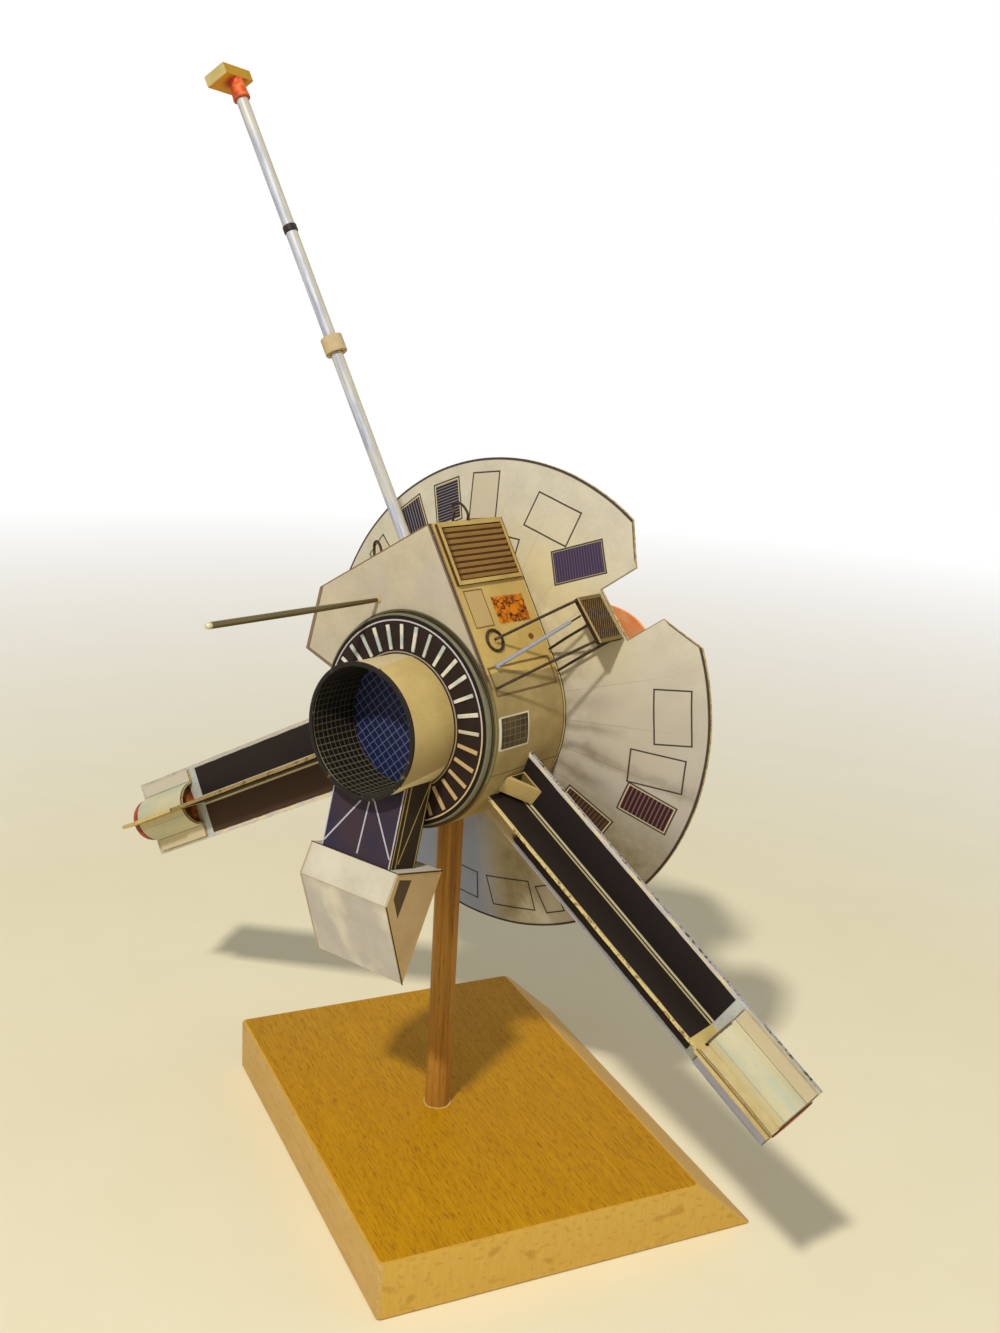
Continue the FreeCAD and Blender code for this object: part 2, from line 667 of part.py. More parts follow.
def make_boom():
    """The long boom square to the middle of the bay's upper left flank."""
    apex = Vec(size("apex_x"), size("apex_y"), 0)
    shoulder = Vec(size("shoulder_x"), size("shoulder_y"), 0)
    run = shoulder.sub(apex)
    heading = math.degrees(math.atan2(run.y, run.x))
    middle = (apex + shoulder) * 0.5
    level = (BAY_AFT + BAY_FORE) / 2
    base = (CRAFT * shift(middle.x, middle.y, level) * turn(Z_AXIS, heading)
            * turn(X_AXIS, RIGHT_ANGLE))
    tubes = []
    height = 0.0
    for name, diameter, length in (
            ("boom_lower_tube", "boom_dia", "boom_lower"),
            ("boom_collar", "collar_dia", "collar_length"),
            ("boom_middle_tube", "boom_dia", "boom_middle"),
            ("boom_band", "band_dia", "band_length"),
            ("boom_upper_tube", "boom_dia", "boom_upper")):
        tubes.append(rod(name, diameter + " / 2", length, base * shift(z=height)))
        height += size(length)
    socket = doc.addObject("Part::Cone", "sensor_socket")
    bound(socket, Radius1="socket_dia / 2", Radius2="socket_top_dia / 2", Height="socket_length")
    label(socket, "sensor_socket", base * shift(z=height))
    height += size("socket_length")
    sensor = box("sensor_box", "sensor_width", "sensor_length", "sensor_thick",
                 base * turn(Z_AXIS, size("sensor_turn"))
                 * shift(size("sensor_aside") - size("sensor_width") / 2,
                         -size("sensor_length") / 2, height))
    return tubes + [socket, sensor]


def make_aft_rod():
    """The thin rod that stands on the front card beside the louvre disc."""
    place = CRAFT * shift(size("rod_x"), size("rod_y"), FRONT)
    return [rod("aft_rod", "rod_dia / 2", "rod_length", place)]


# ---------------------------------------------------------------- bracket and pod

def make_pod():
    """The leaning bracket under the can, and the wedge-shaped pod at its foot."""
    lean = CRAFT * turn(X_AXIS, -size("pod_lean"))
    blank = prism("bracket_blank", [
        ("-bracket_half", "-bracket_foot"),
        ("bracket_half", "-bracket_foot"),
        ("bracket_half", "0"),
        ("-bracket_half", "0"),
    ], "-bracket_rear", "bracket_depth", lean)
    can_way = rod("can_way", "can_radius", "can_length", CRAFT * shift(z=-size("disc_thick")))
    bracket = cut("pod_bracket", blank, can_way)
    aft_edge = size("bracket_depth") - size("bracket_rear") + size("pod_overhang")
    pod_frame = (lean * shift(-size("pod_half"), -size("bracket_foot"), aft_edge)
                 * turn(Y_AXIS, RIGHT_ANGLE))
    pod = prism("instrument_pod", [
        ("0", "0"),
        ("pod_top", "0"),
        ("pod_keel", "-pod_depth"),
        ("-pod_lip_run", "-pod_lip"),
    ], "0", "2 * pod_half", pod_frame)
    return [bracket, pod]


# ---------------------------------------------------------------- the whole model

pieces = [make_board(), make_peg()]
pieces += make_drum_and_bay()
pieces += make_louvre_disc()
pieces += make_can()
pieces += make_side_louvre()
pieces += make_dish()
pieces += make_feed()
pieces += make_thruster("right", size("notch_angle"), 1, STAYS)
pieces += make_thruster("left", size("notch_angle") + FULL_TURN / 2, -1, FORE_STAYS)
pieces += make_arm("right", size("right_arm_angle"), 1)
pieces += make_arm("left", size("left_arm_angle"), -1)
pieces += make_boom()
pieces += make_aft_rod()
pieces += make_pod()
doc.recompute()

for obj in doc.Objects:
    if "Invalid" in obj.State or "Error" in obj.State:
        raise RuntimeError("failed: %s %s" % (obj.Label, obj.State))
for piece in pieces:
    if piece.Shape.isNull() or not piece.Shape.isValid() or not piece.Shape.Solids:
        raise RuntimeError("bad shape: " + piece.Label)

os.makedirs("parts", exist_ok=True)
for piece in pieces:
    piece.Shape.exportStep(os.path.join("parts", piece.Label + ".step"))
    print("%-26s %3d solids %10.1f mm3" % (piece.Label, len(piece.Shape.Solids),
                                          piece.Shape.Volume))
print(len(pieces), "nodes")
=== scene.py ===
import functools
import math
import random

import bmesh
import bpy
from mathutils import Matrix, Vector, noise


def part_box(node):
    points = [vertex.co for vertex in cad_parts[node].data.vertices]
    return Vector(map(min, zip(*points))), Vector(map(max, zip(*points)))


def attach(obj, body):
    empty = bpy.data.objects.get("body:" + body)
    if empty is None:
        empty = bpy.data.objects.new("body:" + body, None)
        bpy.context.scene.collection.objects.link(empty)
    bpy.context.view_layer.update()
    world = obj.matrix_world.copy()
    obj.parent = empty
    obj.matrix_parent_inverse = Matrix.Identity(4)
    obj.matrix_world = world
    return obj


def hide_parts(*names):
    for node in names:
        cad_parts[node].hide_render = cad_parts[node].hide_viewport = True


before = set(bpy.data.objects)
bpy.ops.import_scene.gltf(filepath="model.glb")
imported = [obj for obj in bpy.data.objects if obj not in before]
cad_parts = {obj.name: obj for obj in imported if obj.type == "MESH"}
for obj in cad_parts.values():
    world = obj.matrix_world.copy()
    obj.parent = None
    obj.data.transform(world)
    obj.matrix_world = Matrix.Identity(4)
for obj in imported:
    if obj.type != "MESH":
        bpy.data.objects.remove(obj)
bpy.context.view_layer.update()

# A display model of a deep-space probe: folded and rolled card on a wooden stand.
# Sizes are in millimetres in each piece's own frame, and the meshes are scaled to metres.
# The craft's frame: z runs aft from the face of the louvre disc, y is up.

MM = 0.001
noise.seed_set(7)      # so that the bends come out the same every time


# ---- frames and curves

def shift(x=0.0, y=0.0, z=0.0):
    return Matrix.Translation((x * MM, y * MM, z * MM))


def turn(axis, degrees):
    return Matrix.Rotation(math.radians(degrees), 4, axis)


def polar(radius, degrees, z=0.0):
    angle = math.radians(degrees)
    return Vector((radius * math.cos(angle), radius * math.sin(angle), z))


def arc(x, y, wide, high, start, end, steps):
    """Points along an oval's edge, from one angle to another."""
    angles = [math.radians(start + (end - start) * k / steps) for k in range(steps + 1)]
    return [(x + wide * math.cos(a), y + high * math.sin(a)) for a in angles]


def oval(x, y, wide, high, steps):
    return arc(x, y, wide, high, 0, 360, steps)[:-1]


def wave(x, y, z):
    """A number that drifts smoothly between -1 and 1."""
    return noise.noise(Vector((x, y, z)))


STAND = Matrix.Identity(4)
CRAFT = shift(z=152) @ turn("Z", -62.45) @ turn("X", 90 - 2.77) @ shift(z=24.2)

DRUM_R = 32.0
BAY_AFT, BAY_FORE = -3.5, -35.0
APEX = Vector((2.0, 57.2))
SHOULDER = Vector((-38.0, 32.0))
ELBOW = Vector((-42.4, 12.3))
TOUCH = math.degrees(math.atan2(APEX.y, APEX.x) - math.acos(DRUM_R / APEX.length))
ROOT = 180 - math.degrees(math.asin(8.3 / DRUM_R))
FLANK = 47.45          # length of the right flank, from the apex to the drum
DISH_SEAT, DISH_R, DISH_DEPTH = -36.0, 73.5, 11.3
NOTCHES = (("right", 40), ("left", 220))
NOTCH_FLOOR, NOTCH_HALF, FLARE_FROM, FLARE = 53.2, 8.3, 64.9, 2.3
BOX_INNER, BOX_HALF, BOX_AFT = 51.6, 7.3, -29.4
ARM_START, ARM_REACH = 121.5, 149.7     # where a generator begins and its arm ends


def dish_z(radius):
    return DISH_SEAT - DISH_DEPTH * max(0.0, radius - DRUM_R) / (DISH_R - DRUM_R)


BOX_SEAT = dish_z(BOX_INNER) + 0.1


# ---- meshes

def keep_spots(mesh):
    """Keep each point's place in its own frame, in millimetres, for the finishes."""
    spots = mesh.attributes.new("spot", "FLOAT_VECTOR", "POINT")
    spots.data.foreach_set("vector", [part / MM for v in mesh.vertices for part in v.co])


def put(name, data):
    obj = bpy.data.objects.new(name, data)
    bpy.context.scene.collection.objects.link(obj)
    return obj


def piece(name, part, finishes, nodes=(), place=CRAFT, smooth=40, bend=None, soft=0,
          segments=2, least=35):
    """An object from (points, faces, kinds) in millimetres; a kind picks the face's finish.

    bend is the depth, size and seed of small uneven bends, as hand-glued card has; soft is
    the width of its rounded edges, where faces meet at more than the least angle.
    """
    points, faces, kinds = part
    mesh = bpy.data.meshes.new(name)
    mesh.from_pydata([[size * MM for size in point] for point in points], [], faces)
    for finish in finishes:
        mesh.materials.append(finish)
    mesh.polygons.foreach_set("material_index", kinds)
    work = bmesh.new()
    work.from_mesh(mesh)
    bmesh.ops.recalc_face_normals(work, faces=work.faces)
    work.to_mesh(mesh)
    work.free()
    mesh.shade_smooth()
    mesh.set_sharp_from_angle(angle=math.radians(smooth))
    keep_spots(mesh)
    mesh.transform(place)
    if bend:
        depth, size, seed = bend
        for vertex in mesh.vertices:
            spot = vertex.co / (size * MM) + Vector((seed, seed * 2.7, seed * 5.1))
            vertex.co += noise.noise_vector(spot) * depth * MM
    obj = put(name, mesh)
    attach(obj, "root")
    if nodes:
        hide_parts(*nodes)
    if soft:
        edge = obj.modifiers.new("soft edges", "BEVEL")
        edge.width, edge.segments = soft * MM, segments
        edge.limit_method, edge.angle_limit = "ANGLE", math.radians(least)


def join(*parts):
    """Several (points, faces, kinds) as one."""
    points, faces, kinds = [], [], []
    for part in parts:
        faces += [[len(points) + i for i in face] for face in part[1]]
        points += part[0]
        kinds += part[2]
    return points, faces, kinds


def moved(part, matrix):
    """The same mesh in another frame; the matrix holds metres."""
    return [matrix @ (Vector(p) * MM) / MM for p in part[0]], part[1], part[2]


def painted(part, kind):
    return part[0], part[1], [kind] * len(part[1])


def skin(rings, wall=0, caps=(0, 0), closed=False):
    """Walls from ring to ring of points, and a cap on each end, with their kinds.

    A ring of one point is a tip. The walls' kind may be worked out from ring and step.
    """
    points, loops, faces, kinds = [], [], [], []
    for ring in rings:
        loops.append(range(len(points), len(points) + len(ring)))
        points += ring
    for k in range(len(loops) if closed else len(loops) - 1):
        near, far = loops[k], loops[(k + 1) % len(loops)]
        for i in range(max(len(near), len(far))):
            spots = ((near, i), (near, i + 1), (far, i + 1), (far, i))
            face = list(dict.fromkeys(loop[j % len(loop)] for loop, j in spots))
            if len(face) > 2:
                faces.append(face)
                kinds.append(wall(k, i) if callable(wall) else wall)
    for loop, kind in () if closed else ((loops[0], caps[0]), (loops[-1], caps[1])):
        if len(loop) > 2:
            faces.append(list(loop))
            kinds.append(kind)
    return points, faces, kinds


def slab(outline, low, high, wall=1, caps=(0, 0)):
    return skin([[(x, y, z) for x, y in outline] for z in (low, high)], wall, caps)


def brick(x0, x1, y0, y1, z0, z1, wall=1, caps=(0, 0)):
    return slab([(x0, y0), (x1, y0), (x1, y1), (x0, y1)], z0, z1, wall, caps)


def lathe(profile, segments=64, wall=0, closed=False):
    """A profile of (radius, z) turned about z."""
    return skin([[(x, y, z) for x, y in oval(0, 0, radius, radius, segments)]
                 if radius else [(0, 0, z)] for radius, z in profile], wall, closed=closed)


def thicken(points, under, faces, kinds=(0, 1, 2)):
    """A sheet's face, its underside, and the cut edges between them."""
    base = len(points)
    runs = {(a, b) for face in faces for a, b in zip(face, face[1:] + face[:1])}
    rims = [[b, a, base + a, base + b] for a, b in sorted(runs) if (b, a) not in runs]
    backs = [[base + i for i in reversed(face)] for face in faces]
    return (points + under, faces + backs + rims,
            [kind for kind, side in zip(kinds, (faces, backs, rims)) for _ in side])


def sheet(columns, rows, spot, high, low):
    """A thin sheet of quads; spot(u, v, level) gives a point for u and v from 0 to 1."""
    wide = columns + 1
    faces = [[a, a + 1, a + wide + 1, a + wide] for j in range(rows)
             for a in range(j * wide, j * wide + columns)]
    sides = [[spot(i / columns, j / rows, level) for j in range(rows + 1)
              for i in range(wide)] for level in (high, low)]
    return thicken(*sides, faces, (0, 0, 1))


def smooth_line(points, steps):
    """A soft curve through the points."""
    ends = [points[0] * 2 - points[1], *points, points[-1] * 2 - points[-2]]
    line = []
    for p0, p1, p2, p3 in zip(ends, ends[1:], ends[2:], ends[3:]):
        for t in [i / steps for i in range(steps)]:
            line.append(0.5 * (2 * p1 + (p2 - p0) * t + (2 * p0 - 5 * p1 + 4 * p2 - p3) * t * t
                               + (3 * p1 - p0 - 3 * p2 + p3) * t ** 3))
    return line + [points[-1]]


def wire(points, radius, steps=6, sides=10, round_ends=True, loop=False):
    """A round wire along a soft curve."""
    line = smooth_line([Vector(p) for p in points], steps)[:-1 if loop else None]
    last, side, spans = len(line) - 1, None, []
    for k, centre in enumerate(line):
        before = line[k - 1] if k or loop else centre
        after = line[(k + 1) % len(line)] if k < last or loop else centre
        along = (after - before).normalized()
        if side is None:
            side = along.orthogonal()
        side = (side - along * side.dot(along)).normalized()
        spans.append((centre, along, side, radius))
    if round_ends and not loop:
        ends = [(centre + along * sign * radius * 0.6, along, side, radius * 0.55)
                for (centre, along, side, _), sign in ((spans[0], -1), (spans[-1], 1))]
        spans = [ends[0], *spans, ends[1]]
    return skin([[centre + side * x + along.cross(side) * y
                  for x, y in oval(0, 0, thick, thick, sides)]
                 for centre, along, side, thick in spans], closed=loop)


def fold_outline(path, thick):
    """The outline of a folded card of one thickness, from the line along its middle."""
    line = [Vector(p) for p in path]
    runs = [(b - a).normalized() for a, b in zip(line, line[1:])]
    left, right = [], []
    for spot, a, b in zip(line, runs[:1] + runs, runs + runs[-1:]):
        mid = Vector((-a.y - b.y, a.x + b.x)).normalized()
        reach = mid * (thick / 2 / max(0.4, mid.dot(Vector((-a.y, a.x)))))
        left.append(spot + reach)
        right.append(spot - reach)
    return left + right[::-1]


def bead(centre, radius, seed, flat=0.5):
    """A small uneven drop of dried glue."""
    high = radius * flat
    points, faces, kinds = lathe([(0, -high), (radius * 0.7, -high * 0.7), (radius, 0),
                                  (radius * 0.75, high * 0.6), (0, high)], 12)
    return [Vector(centre) + Vector(p) + radius * 0.25
            * noise.noise_vector(Vector(p) / radius + Vector((seed, 0, 0)))
            for p in points], faces, kinds


# ---- finishes

def operator(operation, swap=False):
    """A method that adds one Math node; swap puts its own number last."""
    def act(self, *others):
        return self.nodes.math(operation, *((*others, self) if swap else (self, *others)))
    return act


class Flow:
    """A number that varies over a surface; Python's operators add its Math nodes."""

    def __init__(self, nodes, socket):
        self.nodes, self.socket = nodes, socket

    __add__ = __radd__ = operator("ADD")
    __mul__ = __rmul__ = operator("MULTIPLY")
    __sub__, __rsub__ = operator("SUBTRACT"), operator("SUBTRACT", swap=True)
    __truediv__, __rtruediv__ = operator("DIVIDE"), operator("DIVIDE", swap=True)
    __mod__, __abs__ = operator("FLOORED_MODULO"), operator("ABSOLUTE")
    least, most, angle = operator("MINIMUM"), operator("MAXIMUM"), operator("ARCTAN2")

    def length(self, other):
        return self.nodes.math("SQRT", self * self + other * other)

    def below(self, level, soft=0.12):
        """1 where the number is below a level, 0 above it, with a soft step between."""
        return self.nodes.math("ADD", (level - self) * (1 / soft), 0.5, clamp=True)

    def above(self, level, soft=0.12):
        return self.nodes.math("ADD", (self - level) * (1 / soft), 0.5, clamp=True)

    def near(self, level, width, soft=0.12):
        """1 on a line of this width."""
        return abs(self - level).below(width / 2, soft)

    def within(self, low, high, soft=0.12):
        return self.near((low + high) / 2, high - low, soft)


class Nodes:
    """A node tree, and the one method that adds to it."""

    def __init__(self, tree):
        self.tree = tree

    def feed(self, node, sockets):
        """Give a node's sockets their links or values."""
        for key, value in sockets.items():
            value = getattr(value, "socket", value)
            if isinstance(value, bpy.types.NodeSocket):
                self.tree.links.new(value, node.inputs[key])
            else:
                node.inputs[key].default_value = value

    def node(self, kind, settings, sockets):
        """Add a node: its settings first, then the values or links of its sockets."""
        node = self.tree.nodes.new("ShaderNode" + kind)
        for key, value in settings.items():
            setattr(node, key, value)
        self.feed(node, sockets)
        return node

    def math(self, operation, *values, clamp=False):
        settings = {"operation": operation, "use_clamp": clamp}
        return Flow(self, self.node("Math", settings, dict(enumerate(values))).outputs[0])


def tone(paint):
    """A paint given from 0 to 255, as the shader's own colour."""
    parts = [part / 255 for part in paint]
    return (*[p / 12.92 if p <= 0.04045 else ((p + 0.055) / 1.055) ** 2.4 for p in parts], 1.0)


class Finish(Nodes):
    """A material whose colour, roughness and relief are worked out by nodes."""

    def __init__(self, name):
        self.material = bpy.data.materials.new(name)
        self.material.use_nodes = True
        super().__init__(self.material.node_tree)
        self.shader = self.tree.nodes["Principled BSDF"]
        self.where = self.node("Attribute", {"attribute_name": "spot"}, {}).outputs["Vector"]

    def split(self, vector=None):
        node = self.node("SeparateXYZ", {}, {0: vector or self.where})
        return [Flow(self, socket) for socket in node.outputs]

    def local(self, middle, degrees):
        """Distances along and across a print from its middle."""
        node = self.node("Mapping", {"vector_type": "TEXTURE"}, {
            "Vector": self.where, "Location": middle,
            "Rotation": (0, 0, math.radians(degrees))})
        return self.split(node.outputs[0])[:2]

    def noise(self, size, seed=0, detail=3, stretch=(1, 1, 1), rough=0.55):
        """Smooth noise from 0 to 1; size is its grain in millimetres."""
        spot = self.node("VectorMath", {"operation": "MULTIPLY_ADD"}, {
            0: self.where, 1: [s / size for s in stretch],
            2: (seed * 7.3, seed * 3.1, seed * 1.7)})
        node = self.node("TexNoise", {"noise_dimensions": "3D"}, {
            "Vector": spot.outputs[0], "Scale": 1.0, "Detail": detail, "Roughness": rough})
        return Flow(self, node.outputs["Fac"])

    def mix(self, colour, *coats):
        """Coats laid one over another: in turn a paint, and a mask that is 1 where it goes."""
        for coat, mask in zip(coats[::2], coats[1::2]):
            under, over = [tone(c) if isinstance(c, tuple) else c for c in (colour, coat)]
            colour = self.node("Mix", {"data_type": "RGBA"},
                               {0: mask, 6: under, 7: over}).outputs[2]
        return colour

    def finish(self, colour, roughness, relief=None, depth=0.03, specular=0.22, metallic=0.0):
        """Feed the shader; relief is a height and depth its size in millimetres."""
        self.feed(self.shader, {"Base Color": colour, "Roughness": roughness,
                                "Specular IOR Level": specular, "Metallic": metallic})
        if relief is not None:
            bump = self.node("Bump", {}, {"Height": relief, "Distance": depth * MM,
                                          "Strength": 1.0})
            self.feed(self.shader, {"Normal": bump.outputs[0]})
        return self.material


INK = (40, 30, 26)
BROWN_INK = (92, 66, 40)


def either(*masks):
    """The greatest of some numbers: of masks, one that shows wherever any of them does."""
    return functools.reduce(Flow.most, masks)


def rectangle(u, v, half_u, half_v):
    """Signed distance to a rectangle's edge, less than zero inside it."""
    return (abs(u) - half_u).most(abs(v) - half_v)


def outside(u, v, start, end, middle):
    """Distance beyond the line through two points, seen from the middle."""
    run = (end - start).normalized()
    out = Vector((run.y, -run.x))
    if out.dot(middle - start) > 0:
        out = -out
    return u * out.x + v * out.y - out.dot(start)


def polygon(u, v, corners):
    """Signed distance to an outline's edge, less than zero inside it."""
    middle = sum(corners, Vector((0, 0))) / len(corners)
    return either(*[outside(u, v, a, b, middle)
                    for a, b in zip(corners, corners[1:] + corners[:1])])


def card(name, pale, shade, seed):
    """Printed card begun: its finish, a mottled ground with faint flecks, and its relief."""
    f = Finish(name)
    cloud = f.noise(9, seed, 4).above(0.52, 0.28)
    fleck = f.noise(0.9, seed + 2, rough=0.7)
    worn = cloud * 0.55 + fleck.above(0.58, 0.16) * 0.3
    return f, f.mix(pale, shade, worn), f.noise(0.28, seed + 5, 2) * 0.7 + fleck * 0.3


def plain_card(name, pale, shade, seed, roughness=0.82):
    f, colour, relief = card(name, pale, shade, seed)
    return f.finish(colour, roughness, relief)


def cut_edge(name, dark, light, share=0.5, seed=0):
    """The inked edge of cut card, worn through to the paper here and there."""
    f = Finish(name)
    worn = f.noise(1.6, seed, rough=0.7).above(1 - share * 0.62, 0.08)
    fibre = f.noise(0.25, seed + 1, 2)
    return f.finish(f.mix(dark, light, worn), 0.85, fibre + worn * 0.4, 0.04)


def scuffed(name, base, worn, roughness, grain, step=None, share=1.0):
    """One paint through another, in a grain that may be narrowed to spots."""
    f = Finish(name)
    scuff = f.noise(*grain)
    if step:
        scuff = scuff.above(*step)
    return f.finish(f.mix(base, worn, scuff * share), roughness, scuff)


# ---- wood

def beech_board():
    """Oiled beech: golden top with short dark flecks, paler sides, blotched end grain."""
    finishes = []
    for name, base, deep, seed in (("beech top", (212, 158, 26), (186, 130, 14), 0),
                                   ("beech side", (214, 180, 110), (198, 158, 90), 3)):
        f = Finish(name)
        drift = f.noise(16, seed, 4, (1, 0.12, 1))
        streak = f.noise(1.3, seed + 1, 3, (1, 0.05, 1), 0.6)
        pores = f.noise(0.3, seed + 2, 2, (1, 0.12, 1), 0.6).above(0.6, 0.1)
        flecks = f.noise(0.45, seed + 4, 1, (1, 0.12, 1), 0.4).above(0.62, 0.1)
        figure = f.noise(0.8, seed + 5, 2, (1, 0.035, 1), 0.6).above(0.5, 0.2)
        colour = f.mix(base, deep, drift * 0.5 + streak * 0.45, (140, 90, 14),
                       (figure * 0.22 + flecks * 0.4 + pores * 0.2) * (0.55 if seed else 1))
        if seed:
            blush = f.noise(9, 7, 2, (1, 0.5, 1)).above(0.55, 0.2)
            colour = f.mix(colour, (212, 172, 116), blush * 0.4,
                           # painted shade: the side is a deeper tone at the bevelled right end
                           (214, 170, 96), f.split()[0].above(58, 1.0) * 0.75)
        finishes.append(f.finish(colour, 0.45 + streak * 0.12,
                                 streak * 0.5 - pores * 0.6 - flecks, 0.05, 0.05))
    f = Finish("beech end grain")
    blotch = f.noise(3.8, 1, 0, (0.62, 1, 1)).above(0.68, 0.1)
    spots = f.noise(1.5, 9, 0, (0.7, 1, 1)).above(0.68, 0.1)
    blot_area = f.noise(22, 4, 2).above(0.42, 0.2)
    rays = f.noise(0.6, 3, 2, (1, 1, 0.12), 0.6)
    colour = f.mix((214, 176, 84), (198, 154, 66), rays * 0.9,
                   (174, 122, 50), (blotch * blot_area * 0.5).most(spots * 0.3))
    return finishes + [f.finish(colour, 0.55, rays - blotch * 0.2, 0.05, 0.1),
                       # the upper edge: some wear, and a painted highlight
                       scuffed("beech edge highlight and wear", (218, 174, 78), (196, 146, 44), 0.5,
                               (2.5, 6, 3, (1, 0.4, 1)))]


def dowel_finish():
    """The peg's wood: brown streaks along its length."""
    f = Finish("peg wood")
    streak = f.noise(1.5, 3, 4, (1, 1, 0.03), 0.6)
    fine = f.noise(0.35, 5, 2, (1, 1, 0.05), 0.6)
    side = f.noise(7, 8, 2, (1, 1, 0.06), 0.5)
    colour = f.mix((192, 138, 54), (134, 88, 30), streak.above(0.5, 0.3) * 0.7, (84, 50, 20),
                   fine.above(0.66, 0.08) * 0.6 + side.above(0.62, 0.1) * 0.35)
    return f.finish(colour, 0.55, streak + fine * 0.6, 0.06)


def make_board():
    low, high = [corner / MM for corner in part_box("plinth_board")]
    bevel, corner, top = 19.7, 1.3, high.z
    rings = []
    for z, inset in ((0.0, 0.35), (0.35, 0.0), (top - 0.9, 0.0), (top - 0.3, 0.28),
                     (top, 0.95)):
        inset += corner
        right, left = high.x - bevel * z / top - inset, low.x + inset
        back, front = high.y - inset, low.y + inset
        ring = []
        for x, y, start in ((right, back, 0), (left, back, 90), (left, front, 180),
                            (right, front, 270)):
            ring += [(*p, z) for p in arc(x, y, corner, corner, start, start + 90, 5)]
        rings.append(ring)

    def kind(level, step):
        """The upper edge, worn and painted lighter as a highlight, the two ends and the long
        sides.
        """
        return 3 if level == 3 else 2 if step in (5, 17) else 1

    piece("stand_board", skin(rings, kind, (1, 0)), beech_board(), ["plinth_board"],
          STAND, 30)


def make_peg():
    foot, top = 8.0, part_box("peg")[1].z / MM
    levels = [foot + (top - foot) * k / 40 for k in range(41)]
    side = [(3.95 + 0.05 * wave(0, 0, z / 9), z) for z in levels]
    piece("stand_peg", lathe([(0, foot), *side, (0, top)], 40), [dowel_finish()],
          ["peg"], STAND)
    glue = plain_card("dried glue", (212, 184, 118), (180, 142, 74), 4, 0.35)
    collar = arc(4.2, 18.0, 0.3, 0.26, 0, 180, 8) + [(3.9, 17.9)]
    piece("peg_glue_line", lathe(collar, 48, closed=True), [glue], (), STAND,
          bend=(0.25, 2.0, 3))
    return glue


# ---- instrument bay

def unrolled(f):
    """Distance along the flank and on round the drum, from the apex, and z."""
    x, y, z = f.split()
    run = polar(1, -58)
    along = (x - APEX.x) * run.x + (y - APEX.y) * run.y
    return along, FLANK + (math.radians(TOUCH) - y.angle(x)) * DRUM_R, z


def flank_prints(f, along, z, colour):
    """The lines, window and foil that are printed on the flank and run on round the drum."""
    wobble = (f.noise(3.0, 9, 1) - 0.5) * 0.25
    t, w = along + wobble, z + wobble
    beige = rectangle(t - 26.4, w + 10.6, 5.5, 4.0)
    panel = rectangle(t - 47.8, w + 19.0, 4.0, 14.0)
    foil = rectangle(t - 28.0 + (w + 24.5) * 0.02, w + 24.5, 4.1, 7.2)
    gold = f.mix((222, 132, 16), (158, 76, 8), f.noise(2.2, 12, 2, rough=0.6).above(0.5, 0.2),
                 (52, 24, 6), f.noise(2.8, 15, 1).near(0.5, 0.06, 0.03))
    dot = f.math("SQRT", (t - 37.1) * (t - 37.1) + (w + 28.9) * (w + 28.9) * 0.6)
    # The panel's outline is a printed line, drawn wider with a painted shadow along it.
    lines = either(beige.near(0, 0.38), panel.near(0, 0.75) * 0.9,
                   z.above(-3.8, 0.2) * t.below(50))
    return f.mix(colour, (196, 168, 112), beige.below(0), gold, foil.below(0, 0.5),
                 (128, 74, 34), dot.below(0.95, 0.3), BROWN_INK, lines * 0.9)


def flank_finish():
    """The bay's right flank, warm cream with its prints."""
    f, colour, relief = card("flank card", (208, 180, 108), (190, 156, 84), 2)
    along, _, z = unrolled(f)
    return f.finish(flank_prints(f, along, z, colour), 0.8, relief)


def drum_finish():
    """The drum: the flank's prints run on to it; a grid window and glued seams."""
    f, colour, relief = card("drum card", (178, 156, 104), (150, 128, 80), 5)
    _, along, z = unrolled(f)
    window = rectangle(along - 62.6, z + 11.1, 4.4, 6.1)
    bars = (along % 1.95).near(1.0, 0.2, 0.15).most(((z + 50) % 2.35).near(1.2, 0.2, 0.15))
    top_line = along.within(58, 67.2)
    seams = either(along.near(75, 0.35), along.near(103, 0.35), along.near(160, 0.35),
                   z.near(-34.6, 0.4))
    colour = f.mix(flank_prints(f, along, z, colour), (32, 23, 20), window.below(0),
                   (138, 126, 96), bars * window.below(-0.3) * 0.6,
                   (232, 226, 206), window.near(0.25, 0.45),
                   (240, 236, 222), z.near(-4.2, 0.75) * top_line,
                   BROWN_INK, z.near(-3.25, 0.4) * top_line,
                   (132, 114, 74), f.noise(14, 8).above(0.5, 0.3) * 0.4,
                   BROWN_INK, seams * 0.75)
    return f.finish(colour, 0.8, relief - seams * 0.6, 0.05)


def front_card_finish():
    """The bay's aft face, with a fine line along its edge."""
    f, colour, relief = card("front card face", (198, 187, 164), (178, 167, 146), 7)
    x, y, _ = f.split()
    r = x.length(y)
    lines = []
    for start, end, wide in ((APEX, SHOULDER, 0.4), (SHOULDER, ELBOW, 1.35),
                             (ELBOW, polar(DRUM_R, ROOT).xy, 1.1),
                             (APEX, polar(DRUM_R, 32).xy, 0.5)):
        depth = outside(x, y, start, end, Vector((0, 0)))
        lines.append(depth.above(-wide) * (0.75 + depth.near(-wide, 0.3) * 0.25))
    colour = f.mix(colour, (180, 170, 166), f.noise(13, 21).above(0.52, 0.2) * 0.4,
                   (104, 100, 64), r.below(31.95, 0.1), INK, r.near(31.2, 0.3),
                   (104, 70, 34), either(*lines))
    return f.finish(colour, 0.8, relief)


def hex_outline(whole):
    """The bay's corners joined to the drum's circle."""
    end, steps = (TOUCH + 360, 88) if whole else (TOUCH, 28)
    return ([polar(DRUM_R, TOUCH).xy, APEX, SHOULDER, ELBOW]
            + arc(0, 0, DRUM_R, DRUM_R, ROOT, end, steps)[:-1])


